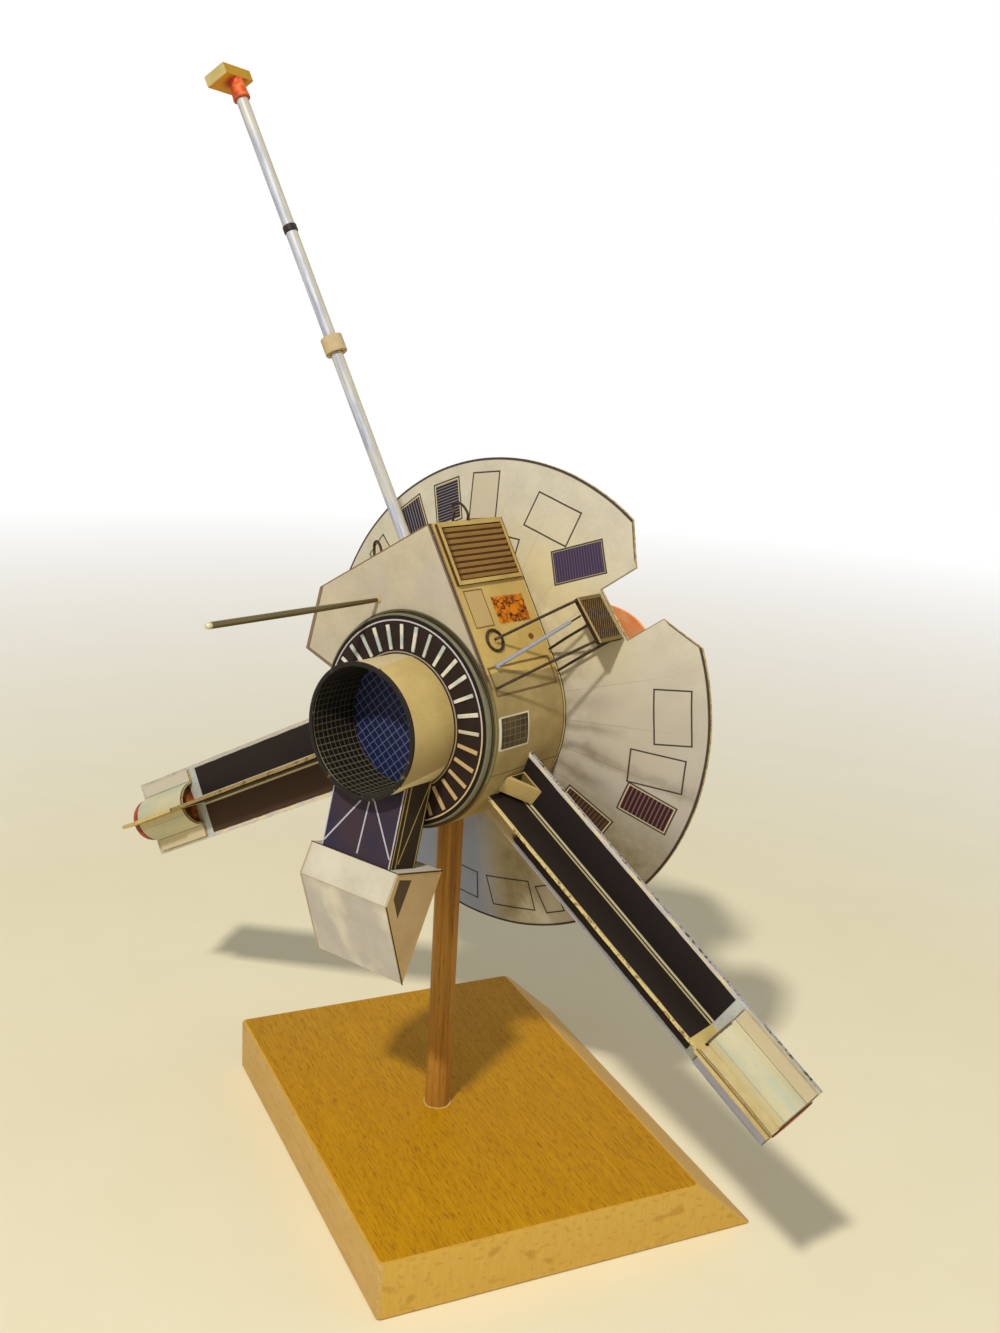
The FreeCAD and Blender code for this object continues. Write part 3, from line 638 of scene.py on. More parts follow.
def back_edge_finish():
    f = Finish("back card edge")
    fray = f.noise(2.5, 4)
    colour = f.mix((206, 188, 126), (66, 48, 26),
                   (f.split()[2] + (fray - 0.5) * 0.3).below(-35.45, 0.1))
    return f.finish(colour, 0.8, fray)


def make_bay():
    ink = cut_edge("inked card edge", (84, 68, 58), (168, 148, 112))
    tan = cut_edge("tan card edge", (176, 144, 92), (214, 190, 132), 0.8, 3)
    olive = cut_edge("olive card edge", (124, 114, 68), (74, 64, 38), 0.5, 5)
    side = plain_card("bay side card", (206, 192, 160), (184, 168, 134), 11)
    whole = hex_outline(True)
    front = slab(whole, BAY_AFT, -2.5, lambda k, i: 2 if i == 1 else 1 if i < 4 else 3)
    piece("bay_front_card", front, [front_card_finish(), ink, tan, olive],
          ["front_card"], smooth=30, soft=0.12)
    piece("bay_back_card", slab(whole, DISH_SEAT, BAY_FORE), [side, back_edge_finish()],
          ["back_card"], smooth=30, soft=0.12)
    walls = slab(hex_outline(False), BAY_FORE, BAY_AFT, lambda k, i: int(i == 0))
    piece("bay_walls", walls, [side, flank_finish()], ["instrument_bay"],
          smooth=30, soft=0.15)
    shell = [(DRUM_R, z) for z in (BAY_AFT, -11, -19, -27, BAY_FORE)]
    shell += [(DRUM_R - 1.2, BAY_FORE), (DRUM_R - 1.2, BAY_AFT)]
    piece("bay_drum", lathe(shell, 128, closed=True), [drum_finish()], ["drum"],
          bend=(0.12, 14, 2))
    return tan


# ---- louvre disc and can

def disc_finish():
    f = Finish("louvre disc print")
    x, y, z = f.split()
    r = x.length(y)
    mottle = f.noise(2.5, 3)
    colour = f.mix(f.mix((30, 20, 16), (46, 32, 26), mottle),
                   f.mix((104, 101, 78), (130, 125, 100), mottle),
                   r.above(30.45) * z.above(-1.7, 0.2),
                   (22, 17, 14), r.within(29.3, 30.4).most(z.near(-1.9, 0.4)),
                   (98, 94, 60), z.below(-2.1, 0.2),
                   (50, 36, 30), y.above(14, 10) * z.below(-0.8, 0.3))
    return f.finish(colour, 0.75, mottle, 0.04)


def blade_finish():
    """Cut strips, some cream and some a pale blue green."""
    f = Finish("louvre blade card")
    y = f.split()[1]
    fleck = f.noise(0.8, 2)
    colour = f.mix((196, 166, 118), (226, 221, 206), y.above(4, 10), (176, 190, 186),
                   f.noise(7, 6, 1).above(0.5, 0.12) * y.above(3, 8) * 0.85,
                   (166, 138, 106), fleck.above(0.62, 0.12) * 0.4)
    return f.finish(colour, 0.7, fleck)


def ring_finish():
    f = Finish("ring paint")
    x, y, _ = f.split()
    colour = f.mix((208, 180, 130), (192, 184, 188),
                   (y * 0.05 + f.noise(12, 5, 2)).above(0.7, 0.6),
                   (134, 120, 92), x.length(y).below(24) * 0.75)
    return f.finish(colour, 0.6, f.noise(0.6))


def make_louvre_disc():
    edge = [(0, -2.5), (30.7, -2.5), (31, -2.3), (31, -0.25), (30.8, 0), (29.7, 0),
            (20, 0), (0, 0)]
    piece("aft_disc", lathe(edge, 128), [disc_finish()], ["louvre_disc"])
    rng = random.Random(4)
    blades = []
    for i in range(32):
        angle = (i + 0.5) * 360 / 32 + rng.uniform(-0.4, 0.4)
        half = (1.15 + rng.uniform(-0.1, 0.12)) / 2
        inner = 20.75 + rng.uniform(-0.05, 0.25)
        outer = 28.1 + rng.uniform(-0.2, 0.15)
        strip = slab([(inner, -half * 0.88), (outer, -half), (outer, half),
                      (inner, half * 0.88)], 0.0, 0.46 + rng.uniform(-0.06, 0.04), 0)
        blades.append(moved(strip, turn("Z", angle)))
    piece("louvre_strips", join(*blades), [blade_finish()], ["louvre_blades"],
          soft=0.1)
    rings = [lathe(oval(radius + 0.32, 0.2, 0.25, 0.2, 12), 128, closed=True)
             for radius in (28.8, 19.7)]
    piece("louvre_bead_rings", join(*rings), [ring_finish()], ["louvre_rings"])


def lining_finish():
    """The can's lining: near black with a fine pale net, unevenly worn, and fainter towards the
    top as painted shade.
    """
    f = Finish("can lining")
    x, y, z = f.split()
    across = (y.angle(x) * (60 / (2 * math.pi)) + 60) % 1
    net = across.near(0.5, 0.11, 0.1).most(((z / 1.85) % 1).near(0.5, 0.11, 0.1))
    # painted shade: the net fades towards the top of the can; the noise is uneven wear
    net_wear_and_shade = f.noise(6, 3, 2) * 0.5 + y.below(-1, 22) * 0.6
    colour = f.mix((16, 14, 11), (136, 128, 98), net * net_wear_and_shade,
                   (196, 186, 150), z.above(17.1, 0.2) * 0.85)
    return f.finish(colour, 0.7, net)


def can_floor_finish():
    """The can's floor: blue with a slanted net."""
    f = Finish("can floor print")
    x, y, _ = f.split()
    net = either(*[((slant / 3.3 + 40) % 1).near(0.5, 0.09, 0.07) for slant in (x + y, x - y)])
    colour = f.mix((16, 20, 50), (28, 36, 80), f.noise(8, 2), (136, 142, 172), net * 0.6)
    return f.finish(colour, 0.6, net)


def can_card_finish():
    f, colour, relief = card("can card", (208, 184, 120), (188, 162, 98), 9)
    _, y, z = f.split()
    # Painted shade: darker towards the can's lower side.
    colour = f.mix(colour, (158, 136, 96), y.below(-1, 14) * 0.8, INK, z.below(0.75))
    return f.finish(colour, 0.8, relief)


def make_can():
    under = plain_card("can lap card", (212, 196, 152), (192, 172, 124), 19)
    wall = [(19.4, 0), (19.4, 6), (19.4, 12), (19.4, 17.6), (18.6, 17.6), (18.6, 0)]
    piece("can_wall", lathe(wall, 96, lambda k, i: int(k == 4), True),
          [under, lining_finish()], ["adapter_can"], bend=(0.1, 9, 4))

    def wrap(u, v, radius):
        start, end = -24.3 - 14.0 * v, 84.0 - 9.0 * v
        lift = 0.2 * max(0.0, 1 - min(u, 1 - u) / 0.03)
        return polar(radius + lift, start + (end - start) * u, 0.15 + 17.3 * v)

    edge = cut_edge("can overlap edge", (58, 40, 24), (104, 80, 48), 0.3, 8)
    piece("can_wrap", sheet(60, 4, wrap, 19.68, 19.42), [can_card_finish(), edge])
    rim = [(18.3, 17.62), (18.32, 18.1), (18.5, 18.2), (19.5, 18.2), (19.7, 18.05),
           (19.7, 17.7), (19.55, 17.6), (18.4, 17.6)]
    rim_ink = scuffed("can rim ink", (26, 22, 18), (96, 84, 60), 0.6, (2.2, 5), (0.66, 0.08))
    piece("can_rim_ring", lathe(rim, 96, closed=True), [rim_ink], ["can_rim"])
    plate = [(0, 0), (18.55, 0), (18.55, 0.35), (18.4, 0.5), (0, 0.5)]
    piece("can_floor_card", lathe(plate), [can_floor_finish()], ["can_floor"])


# ---- side louvre

def slat_finish(shaded_from):
    f = Finish("louvre slat card")
    streak = f.noise(0.8, 4, 3, (1, 0.2, 1))
    colour = f.mix((172, 134, 72), (138, 100, 48), streak * 0.6 + f.noise(7, 6, 2) * 0.4,
                   (70, 42, 18), f.split()[1].above(shaded_from, 1.6) * 0.8)
    return f.finish(colour, 0.7, streak, 0.04)


def make_side_louvre():
    """The framed slats on the flank, tilted like a blind."""
    tall, wide, border = 18.6, 29.4, 1.25
    finishes = [slat_finish(wide - border - 1.2),
                scuffed("louvre shadow", (66, 40, 16), (92, 60, 26), 0.85,
                        (0.6, 8, 2, (1, 0.3, 1))),
                plain_card("louvre frame card", (204, 176, 104), (170, 138, 74), 6),
                cut_edge("louvre frame edge", (78, 56, 32), (150, 120, 66), 0.4, 2)]
    place = (CRAFT @ shift(APEX.x, APEX.y, -4.9) @ turn("Z", TOUCH - 90) @ turn("X", 90)
             @ shift(0.6, -wide, -0.5))
    parts = [painted(brick(0, tall, 0, wide, 0, 0.5), 1)]
    for x0, x1, y0, y1 in ((0, tall, 0, border), (0, tall, wide - border, wide),
                           (0, border, border, wide - border),
                           (tall - border, tall, border, wide - border)):
        parts.append(brick(x0, x1, y0, y1, -0.5, 0, 3, (2, 2)))
    for i in range(9):
        blade = brick(-0.55, 0.55, border, wide - border, -0.1, 0.1, 0)
        x = border + (tall - 2 * border) * (i + 0.5) / 9
        parts.append(moved(blade, shift(x, 0, -0.24) @ turn("Y", -20)))
    piece("flank_louvre", join(*parts), finishes, ["side_louvre"], place,
          soft=0.08)


# ---- dish

# fill, stripe pitch, middle's distance and angle, half length out, half width, own turn
DISH_PRINTS = [
    ("night", 1.1, 62.3, 128.3, 7.0, 5.1), ("night", 0.9, 62.5, 114.2, 6.6, 5.2),
    ("beige", 0, 62.2, 100.7, 7.0, 5.1), ("bare", 0, 59.8, 75.6, 5.2, 8.1),
    ("violet", 0.85, 54.1, 60.5, 8.1, 4.9, 21.8), ("bare", 0, 62.85, 7.3, 5.35, 8.0),
    ("bare", 0, 60.0, -8.25, 8.0, 5.0, -2.25), ("maroon", 1.3, 61.0, -19.6, 7.7, 4.6),
    ("brown", 1.2, 46.55, -33.0, 8.0, 3.2), ("bare", 0, 62.65, -79.5, 5.0, 8.2),
    ("bare", 0, 62.85, -95.0, 4.85, 3.9), ("bare", 0, 64.5, -66.0, 4.5, 3.5),
    ("bare", 0, 46.4, 87.5, 4.2, 3.2), ("beige", 0, 63.0, 145.0, 4.5, 4.5),
    ("bare", 0, 61.0, 171.0, 6.0, 4.6), ("maroon", 0.8, 62.0, -150.0, 6.0, 4.4),
]
PRINT_FILLS = {
    "night": ((36, 30, 48), (170, 160, 150)), "violet": ((58, 46, 74), (116, 96, 112)),
    "maroon": ((56, 28, 30), (160, 128, 124)), "brown": ((62, 40, 26), (126, 98, 70)),
}


def dish_face_finish():
    """The dish's aft side: cream card with printed hatches and a dark rim line."""
    f, colour, relief = card("dish print", (206, 199, 180), (186, 179, 160), 13)
    x, y, _ = f.split()
    r, angle = x.length(y), y.angle(x)

    def sector(degrees, half, soft):
        return abs(angle - math.radians(degrees)).below(math.radians(half), soft)

    stain = f.noise(24, 31).above(0.46, 0.2) * 0.3 * r.below(60, 14)
    crease = ((angle * (24 / (2 * math.pi)) + 24.3) % 1).near(0.5, 0.012, 0.02) * r.below(58, 20)
    dirt = f.noise(5, 17).above(0.5, 0.25) * r.below(42, 10)
    # Darker radial bands near the hub, on the lower right.
    dark_rays = ((angle * 5.2 + f.noise(12, 22, 2) * 0.8 + 20) % 1).near(0.5, 0.3, 0.4)
    streaks = f.noise(3.5, 27, rough=0.6)
    brown = either(sector(-42, 15, 0.3) * r.above(38, 8),
                   abs(x - 15).below(8, 8) * y.below(-42, 12) * 0.8)
    fold_line = abs(angle + 0.2 + (streaks - 0.5) * 0.1).below(0.025, 0.05) * r.above(38, 6)
    colour = f.mix(colour, (214, 194, 132),
                   stain.most(sector(52, 34, 0.4) * r.below(54, 12) * 0.55),
                   # painted shade: greyer on the lower right, which faces away from the lamp
                   (176, 168, 160), y.below(22, 24) * x.above(24, 16) * 0.6,
                   # painted shade: a cool blue on the lower left, which lies in shade
                   (154, 170, 206), x.below(5, 12) * y.below(-26, 16) * 0.9,
                   (112, 98, 44), brown * (0.35 + streaks * 0.7),
                   (118, 106, 84), fold_line * 0.4,
                   (150, 136, 108), crease * 0.35 + dirt * 0.4,
                   (112, 98, 74), dark_rays * (sector(-20, 30, 0.4) * r.below(46, 10)) * 0.6)
    outlines = []
    for fill, pitch, radius, degrees, half_u, half_v, *own in DISH_PRINTS:
        u, v = f.local(polar(radius, degrees), *(own or [degrees]))
        gap = rectangle(u, v, half_u, half_v)
        outlines.append(gap.near(0, 0.48))
        if fill == "beige":
            colour = f.mix(colour, (196, 186, 162), gap.below(0))
        elif fill != "bare":
            across = v if pitch == 1.1 else u
            stripe = ((across / pitch + 40) % 1).near(0.5, 0.24, 0.2)
            colour = f.mix(colour, (206, 190, 150), gap.below(0),
                           f.mix(PRINT_FILLS[fill][0], PRINT_FILLS[fill][1], stripe * 0.6),
                           gap.below(-0.35 if fill == "violet" else -0.6))
    rims = [r.above(72.75, 0.25)]
    for _, degrees in NOTCHES:
        aim = polar(1, degrees)
        out, side = x * aim.x + y * aim.y, abs(y * aim.x - x * aim.y) - NOTCH_HALF
        flare = (side - (out - FLARE_FROM).most(0) * FLARE) / 2.5
        rims.append(flare.below(0.3, 0.2) * out.above(65.5, 0.5))
        throat = side.most(NOTCH_FLOOR - out)
        rims.append(throat.below(0.25, 0.2) * out.above(NOTCH_FLOOR - 0.8) * 0.7)
    colour = f.mix(colour, INK, either(*outlines, *rims) * 0.94)
    return f.finish(colour, 0.8, relief - crease * 2, 0.04)


def dish_bowl_finish():
    """The dish's hollow side: pale card with fine radial folds."""
    f, colour, relief = card("dish bowl", (222, 212, 188), (204, 194, 168), 19)
    x, y, _ = f.split()
    r = x.length(y)
    fold = ((y.angle(x) * (24 / (2 * math.pi)) + 24.3) % 1).near(0.5, 0.012, 0.02)
    crease = (fold * r.above(20, 4)).most(r.near(DRUM_R, 0.4) * 0.7)
    ring = (r.near(52, 0.3).most(r.near(20, 0.3)) * 0.6).most(r.above(72.8, 0.2))
    colour = f.mix(colour, (140, 126, 100), (crease * 0.5).most(ring * 0.8))
    return f.finish(colour, 0.8, relief - crease * 2, 0.04)


def cut_notch(work, degrees):
    """Cut the dish's mesh along a notch's edges and take out what is between them."""
    along, across = polar(1, degrees), polar(1, degrees + 90)
    cuts = [(along * NOTCH_FLOOR, along), (across * NOTCH_HALF, across),
            (across * -NOTCH_HALF, across)]
    for sign in (1, -1):
        cuts.append((along * FLARE_FROM + across * NOTCH_HALF * sign,
                     (across * sign - along * FLARE).normalized()))
    for spot, normal in cuts:
        near = [f for f in work.faces
                if 46 < f.calc_center_median().dot(along) / MM < 80
                and abs(f.calc_center_median().dot(across)) / MM < 34]
        parts = {*near, *(v for f in near for v in f.verts), *(e for f in near for e in f.edges)}
        bmesh.ops.bisect_plane(work, geom=list(parts), plane_co=spot * MM, plane_no=normal,
                               dist=1e-7)
    gone = []
    for f in work.faces:
        middle = f.calc_center_median() / MM
        u, v = middle.dot(along), abs(middle.dot(across))
        if u > NOTCH_FLOOR and v < NOTCH_HALF + max(0.0, u - FLARE_FROM) * FLARE:
            gone.append(f)
    bmesh.ops.delete(work, geom=gone, context="FACES")


def make_dish(edge):
    """One sheet with slight folds and an uneven rim, the notches cut out, then thickened."""
    def dish_spot(radius, angle):
        if radius <= DRUM_R:
            return polar(radius, angle, DISH_SEAT)
        fold = abs(((angle / 15 + 0.3) % 1) - 0.5) * 2
        lift = (0.22 * (fold - 1) * min(1.0, (radius - 31) / 8)
                * (1.25 - radius / DISH_R * 0.6))
        sway = noise.noise(polar(radius, angle) / 26) * 0.5 * (radius / DISH_R) ** 3
        return polar(radius, angle, dish_z(radius) + lift + sway * 0.6 - 0.1)

    work = bmesh.new()
    count = 192
    loops = [[work.verts.new(dish_spot(radius, 360 * i / count) * MM) for i in range(count)]
             for radius in (0.01, 12, 22, 30, 32, 36, 42, 48, 54, 60, 66, 70, 72, DISH_R)]
    for near, far in zip(loops, loops[1:]):
        for i in range(count):
            j = (i + 1) % count
            work.faces.new((near[i], near[j], far[j], far[i]))
    work.faces.new(loops[0])
    for _, degrees in NOTCHES:
        cut_notch(work, degrees)
    bmesh.ops.remove_doubles(work, verts=work.verts, dist=2e-6)
    work.verts.index_update()
    points = [v.co / MM for v in work.verts]
    under = [p - Vector((0, 0, 0.9)) for p in points]
    faces = [[v.index for v in f.verts] for f in work.faces]
    work.free()
    piece("dish_sheet", thicken(points, under, faces),
          [dish_face_finish(), dish_bowl_finish(), edge], ["dish"], smooth=25)


def coral_finish():
    """Orange-red foil card of the feed."""
    f = Finish("coral card")
    fleck = f.noise(0.8, 6, rough=0.7)
    colour = f.mix((255, 190, 138), (255, 158, 104), f.noise(8, 5).above(0.5, 0.3),
                   (255, 206, 164), fleck.above(0.62, 0.12) * 0.5)
    return f.finish(colour, 0.65, fleck)


def make_feed():
    coral = [coral_finish()]
    rim, back, tail = -103.0, -112.0, -112.8
    cup = [(0, back), (6.8, back), (14.5, back + 4.2), (22.4, rim - 0.15), (22.7, rim),
           (22.8, rim - 0.4), (22.8, rim - 0.8), (14.8, back + 3.4), (7.0, tail), (0, tail)]
    piece("feed_cup_shell", lathe(cup, 72), coral, ["feed_cup"],
          bend=(0.18, 12, 6))
    horn = [(0, tail), (2.4, tail), (2.6, tail - 4)]
    for k in range(5):
        radius = 2.7 + 1.3 * (k + 1) / 5
        horn += [(radius, tail - 5 - 1.3 * k), (radius - 0.25, tail - 5.6 - 1.3 * k)]
    horn += [(4.0, tail - 11.9), (3.5, tail - 12), (3.1, tail - 9), (0, tail - 9)]
    piece("feed_horn_tube", lathe(horn, 40), coral, ["feed_horn"])
    legs = []
    for degrees in (100, 220, 340):
        foot, top = polar(44, degrees, dish_z(44) - 1.3), polar(21.2, degrees, rim)
        inset = (top - foot).normalized() * 0.9
        middle = (foot + top) / 2 + polar(0.15, degrees)
        legs.append(wire([foot + inset, middle, top - inset], 0.78, 8, 14, False))
    piece("feed_leg_tubes", join(*legs), coral, ["feed_legs"])


# ---- thruster boxes and stays

def hatch_finish():
    """A thruster box's face: fine slanted bars on brown."""
    f = Finish("thruster face print")
    _, y, z = f.split()
    streak = f.noise(1.6, 3).above(0.5, 0.3)
    cross = (((y * 0.836 - z * 0.548) / 0.85 + 90) % 1).near(0.5, 0.5, 0.3)
    bar = (((y * 0.548 + z * 0.836) / 0.85 + 90) % 1).near(0.5, 0.3, 0.25)
    bar = bar * (0.35 + cross * 0.65)
    colour = f.mix((40, 25, 9), (178, 140, 74), bar * (0.45 + streak * 0.5))
    return f.finish(colour, 0.75, bar, 0.06)


def make_thruster_boxes():
    finishes = [hatch_finish(),
                cut_edge("thruster frame card", (172, 146, 92), (92, 72, 40), 0.6, 5),
                cut_edge("thruster underside", (44, 32, 22), (96, 76, 50), 0.3, 6),
                cut_edge("thruster end card", (122, 104, 56), (76, 60, 30), 0.5, 8)]
    half, seat, aft, outer = BOX_HALF, BOX_SEAT, BOX_AFT, NOTCH_FLOOR
    low, high, inset = seat + 0.6, aft - 0.6, half - 1.1
    parts = [painted(brick(*sides), kind) for kind, *sides in (
        (2, BOX_INNER, outer - 0.35, -half, half, seat, aft),
        (0, outer - 0.4, outer - 0.2, -inset, inset, low, high),
        (1, outer - 0.4, outer, -half, half, seat, low),
        (1, outer - 0.4, outer, -half, half, high, aft),
        (3, outer - 0.4, outer, -half, -inset, low, high),
        (3, outer - 0.4, outer, inset, half, low, high))]
    for side, degrees in NOTCHES:
        piece("thruster_case_" + side, join(*parts), finishes,
              ["thruster_box_" + side], CRAFT @ turn("Z", degrees), soft=0.1)


# name, radius, foot's turn from the notch, share of the drum's length,
# end's share of the box's half width, of its length, and of its depth
STAYS = [
    ("long", 0.41, 11.2, 0.25, 0.9, 0.0, 0.6),
    ("short", 0.41, 1.3, 0.97, -0.1, 0.1, 0.0),
    ("low", 0.41, -12.2, 0.03, -0.85, 0.0, 0.5),
    ("fore", 0.41, -10.6, 0.97, -0.85, 0.9, 0.0),
    ("grey", 0.56, -1.6, 0.14, 0.3, 0.0, 0.5),
]


def flank_radius(degrees):
    """The bay's distance from its axis, out to its flat flank where that is further."""
    past = math.radians(degrees - TOUCH)
    return DRUM_R / math.cos(past) if 0 < past < math.pi / 4 else DRUM_R


def make_stays(glue):
    dark = scuffed("dark wire", (54, 40, 26), (108, 82, 48), 0.55, (1.2, 3), (0.6, 0.1), 0.6)
    grey = scuffed("grey rod paint", (168, 170, 184), (128, 128, 140), 0.5,
                   (1.0, 4, 3, (1, 1, 0.3)))
    for (side, degrees), hand, stays in zip(NOTCHES, (1, -1), (STAYS, STAYS[1:4:2])):
        wires, rod = [], []
        for name, radius, foot_turn, foot_share, wide, deep, thick in stays:
            clear = radius + 0.04
            angle = degrees + hand * foot_turn
            foot = polar(flank_radius(angle) + clear, angle, BAY_AFT - foot_share * 31.5)
            end = Vector((BOX_INNER + thick * 1.6, hand * wide * BOX_HALF, BOX_AFT + clear))
            if deep > 0:
                end.x, end.z = BOX_INNER - clear, BOX_AFT - deep * (BOX_AFT - BOX_SEAT)
            end.rotate(Matrix.Rotation(math.radians(degrees), 3, "Z"))
            run = end - foot
            aim = run.normalized()
            if name == "grey":
                thin_from = end - aim * 4.2
                rod = [wire([foot + aim * 0.5, foot + run * 0.5, thin_from], radius, 4, 14),
                       bead(foot + aim * 0.3, 0.9, 3)]
                wires.append(wire([thin_from - aim, end - aim * 0.6], 0.28, 1, 8))
                continue
            line = [foot + run * 0.5 + Vector((0.1, 0.2, 0.25)), end - aim * 0.4]
            if name == "long":
                line = [foot + run * 0.25, foot + run * 0.55 + Vector((0, 0, 0.5)),
                        end + Vector((0, 0, 0.5)) - aim * 2.5, end + Vector((0, 0, 0.1))]
            wires.append(wire([foot + aim * 0.4, *line], radius, 8))
        node = ["thruster_stays_" + side]
        piece("stay_wires_" + side, join(*wires), [dark], node)
        if rod:
            piece("stay_rod_" + side, join(*rod), [grey], node)
    along = polar(1, TOUCH - 90)
    middle = Vector((APEX.x, APEX.y, -12.1)) + along * 36.3 + polar(0.25, TOUCH)
    ring = [middle + along * u + Vector((0, 0, v)) for u, v in arc(0, 0, 3.1, 3.3, 0, 360, 12)]
    parts = [
        wire(ring, 0.45, 3, 10, loop=True),
        wire([(2.0, 56.9, -20), (1.9, 58.9, -20), (0.2, 60.8, -20), (-2.0, 61.5, -20.2),
              (-4.2, 60.8, -20.4), (-3.6, 58.4, -20.6), (-4.4, 53.6, -20.8)], 0.38),
        wire([(-29.4, 38.2, -20), (-30.0, 42.6, -20), (-31.6, 45.2, -20), (-33.3, 44.6, -20.3),
              (-33.4, 41.0, -20.6), (-33.6, 35.8, -20.8)], 0.42)]
    piece("wire_ring_and_hoops", join(*parts), [dark])
    drops = [bead(middle, 0.9, 5), bead((-14.7, 32.4, -2.35), 1.2, 8, 0.3)]
    piece("glue_drops", join(*drops), [glue])


# ---- generator arms

def arm_panel_finish(name, low_half, flange):
    """Dark printed card with pale lines along its edges and a grey band near the tip."""
    f = Finish(name)
    x, y, _ = f.split()
    fleck = f.noise(0.7, 7, rough=0.7)
    wear = f.noise(1.8, 2, 3, (0.35, 1, 1), 0.7)
    dark = f.mix((22, 15, 13), (40, 29, 25), f.noise(12, 4, 3, (0.3, 1, 1)),
                 low_half, y.above(0, 1))
    lavender = f.mix((206, 198, 196), (224, 210, 170), wear.above(0.5, 0.2),
                     flange, y.below(0) * 0.75)
    near_edge = abs(y).above(11.7 + (wear - 0.5) * 0.5, 0.15)
    band = f.mix((176, 186, 188), (200, 200, 188), fleck.above(0.5, 0.2))
    tip = f.mix(flange, (192, 186, 158), y.above(0),
                (150, 142, 128), wear.above(0.55, 0.15) * 0.4)
    pasted = x.below(36 - y * 0.25 + wear * 5, 1.5) * y.below(-9.5, 0.3)
    colour = f.mix(dark, lavender, near_edge * (0.7 + wear * 0.5),
                   (214, 204, 168), abs(y).near(1.35, 0.7) * (0.75 + fleck * 0.3),
                   band, x.within(118.3, 122.2), tip, x.above(122.2),
                   (192, 168, 128), pasted * 0.9)
    return f.finish(colour, 0.7, fleck)


def arm_web_finish():
    f = Finish("arm web print")
    x, _, z = f.split()
    wear = f.noise(1.5, 12, 3, (0.3, 1, 1), 0.7)
    fin = f.mix((214, 196, 146), (202, 182, 128), f.noise(5, 20).above(0.5, 0.3),
                (206, 182, 104), x.below(122.6, 1.0) * 0.7,
                (96, 78, 40), z.near(11.9, 0.35) * x.above(122))
    line = z.above(12.0 + (wear - 0.5) * 0.4, 0.15).most(z.below(1.3))
    colour = f.mix((24, 16, 11), (38, 27, 19), wear, (206, 190, 140), line * 0.85,
                   fin, x.above(118.3),
                   # painted shade: a dark mark in the opening at the shroud's inner end
                   INK, x.near(122.1 + (wear - 0.5) * 0.8, 0.9) * z.within(6.0, 8.8))
    return f.finish(colour, 0.7, wear)


def shroud_finish(name, near_flange):
    """Greenish white card with faint stains; one flange has its own colour."""
    f = Finish(name)
    x, y, z = f.split()
    cloud = f.noise(10, 5, 4, (0.5, 1, 1))
    fleck = f.noise(0.9, 6, rough=0.7)
    dark_end = x.below(122.25 + (fleck - 0.5) * 0.5, 0.2) * abs(y).below(7.3, 0.3)
    lines = either(abs(y).near(7.9, 0.25) * 0.65, y.near(2.8, 0.2) * 0.35,
                   either(x.above(149.4, 0.2), x.below(121.8, 0.2), dark_end) * 0.9)
    colour = f.mix((206, 200, 168), (184, 189, 168), cloud.above(0.5, 0.24), (210, 198, 150),
                   f.noise(2.2, 9, 3, (0.12, 1, 1), 0.6).above(0.52, 0.2) * 0.5,
                   (200, 174, 108), y.within(0, 2.7, 0.9) * z.above(0) * 0.4,
                   (202, 187, 156), y.above(8.2, 0.3) * 0.9,
                   near_flange, y.below(-8.2, 0.3) * 0.9,
                   (168, 150, 112), fleck.above(0.64, 0.12) * 0.2, (74, 56, 40), lines)
    return f.finish(colour, 0.8, cloud + fleck, 0.04)


def core_finish():
    f = Finish("core paint")
    cloud = f.noise(3, 2)
    colour = f.mix((166, 92, 36), (84, 44, 18), cloud.above(0.45, 0.3),
                   (60, 30, 14), ((f.split()[0] / 1.4) % 1).near(0.5, 0.2, 0.1) * 0.6)
    return f.finish(colour, 0.6, cloud, 0.05)


def cap_finish():
    f = Finish("cap red")
    x, y, z = f.split()
    cloud = f.noise(2.4, 8)
    colour = f.mix((184, 78, 52), (140, 46, 34), cloud.above(0.5, 0.25),
                   (104, 40, 30), x.length(y).above(6.6, 0.3) * z.below(0.9, 0.3))
    return f.finish(colour, 0.5, cloud, 0.04)


# side, turn, its upper side, seed of its bends, shroud's end, paints of the panel's low half,
# of its flange and of the shroud's flange, web's edge, and the cap's profile
ARMS = [
    ("right", -33.2, 1, 1, ARM_REACH, (28, 20, 18), (176, 180, 204), (190, 190, 214),
     ("arm web edge", (214, 192, 132), (140, 114, 70), 0.7, 14),
     [(0, 0), (6.9, 0), (7.1, 0.15), (6.9, 0.4), (5.0, 0.5), (0, 0.55)]),
    ("left", -151.2, -1, 6, ARM_REACH - 2.2, (66, 46, 30), (196, 190, 178), (206, 197, 180),
     # the left web's edge is a darker copy of the right's: painted shade
     ("arm web edge shaded copy", (156, 134, 90), (112, 92, 60), 0.7, 15),
     [(0, 0), (7.2, 0), (7.38, 0.4), (7.38, 2.6), (7.1, 3.3), (6.2, 3.7), (0, 3.75)]),
]


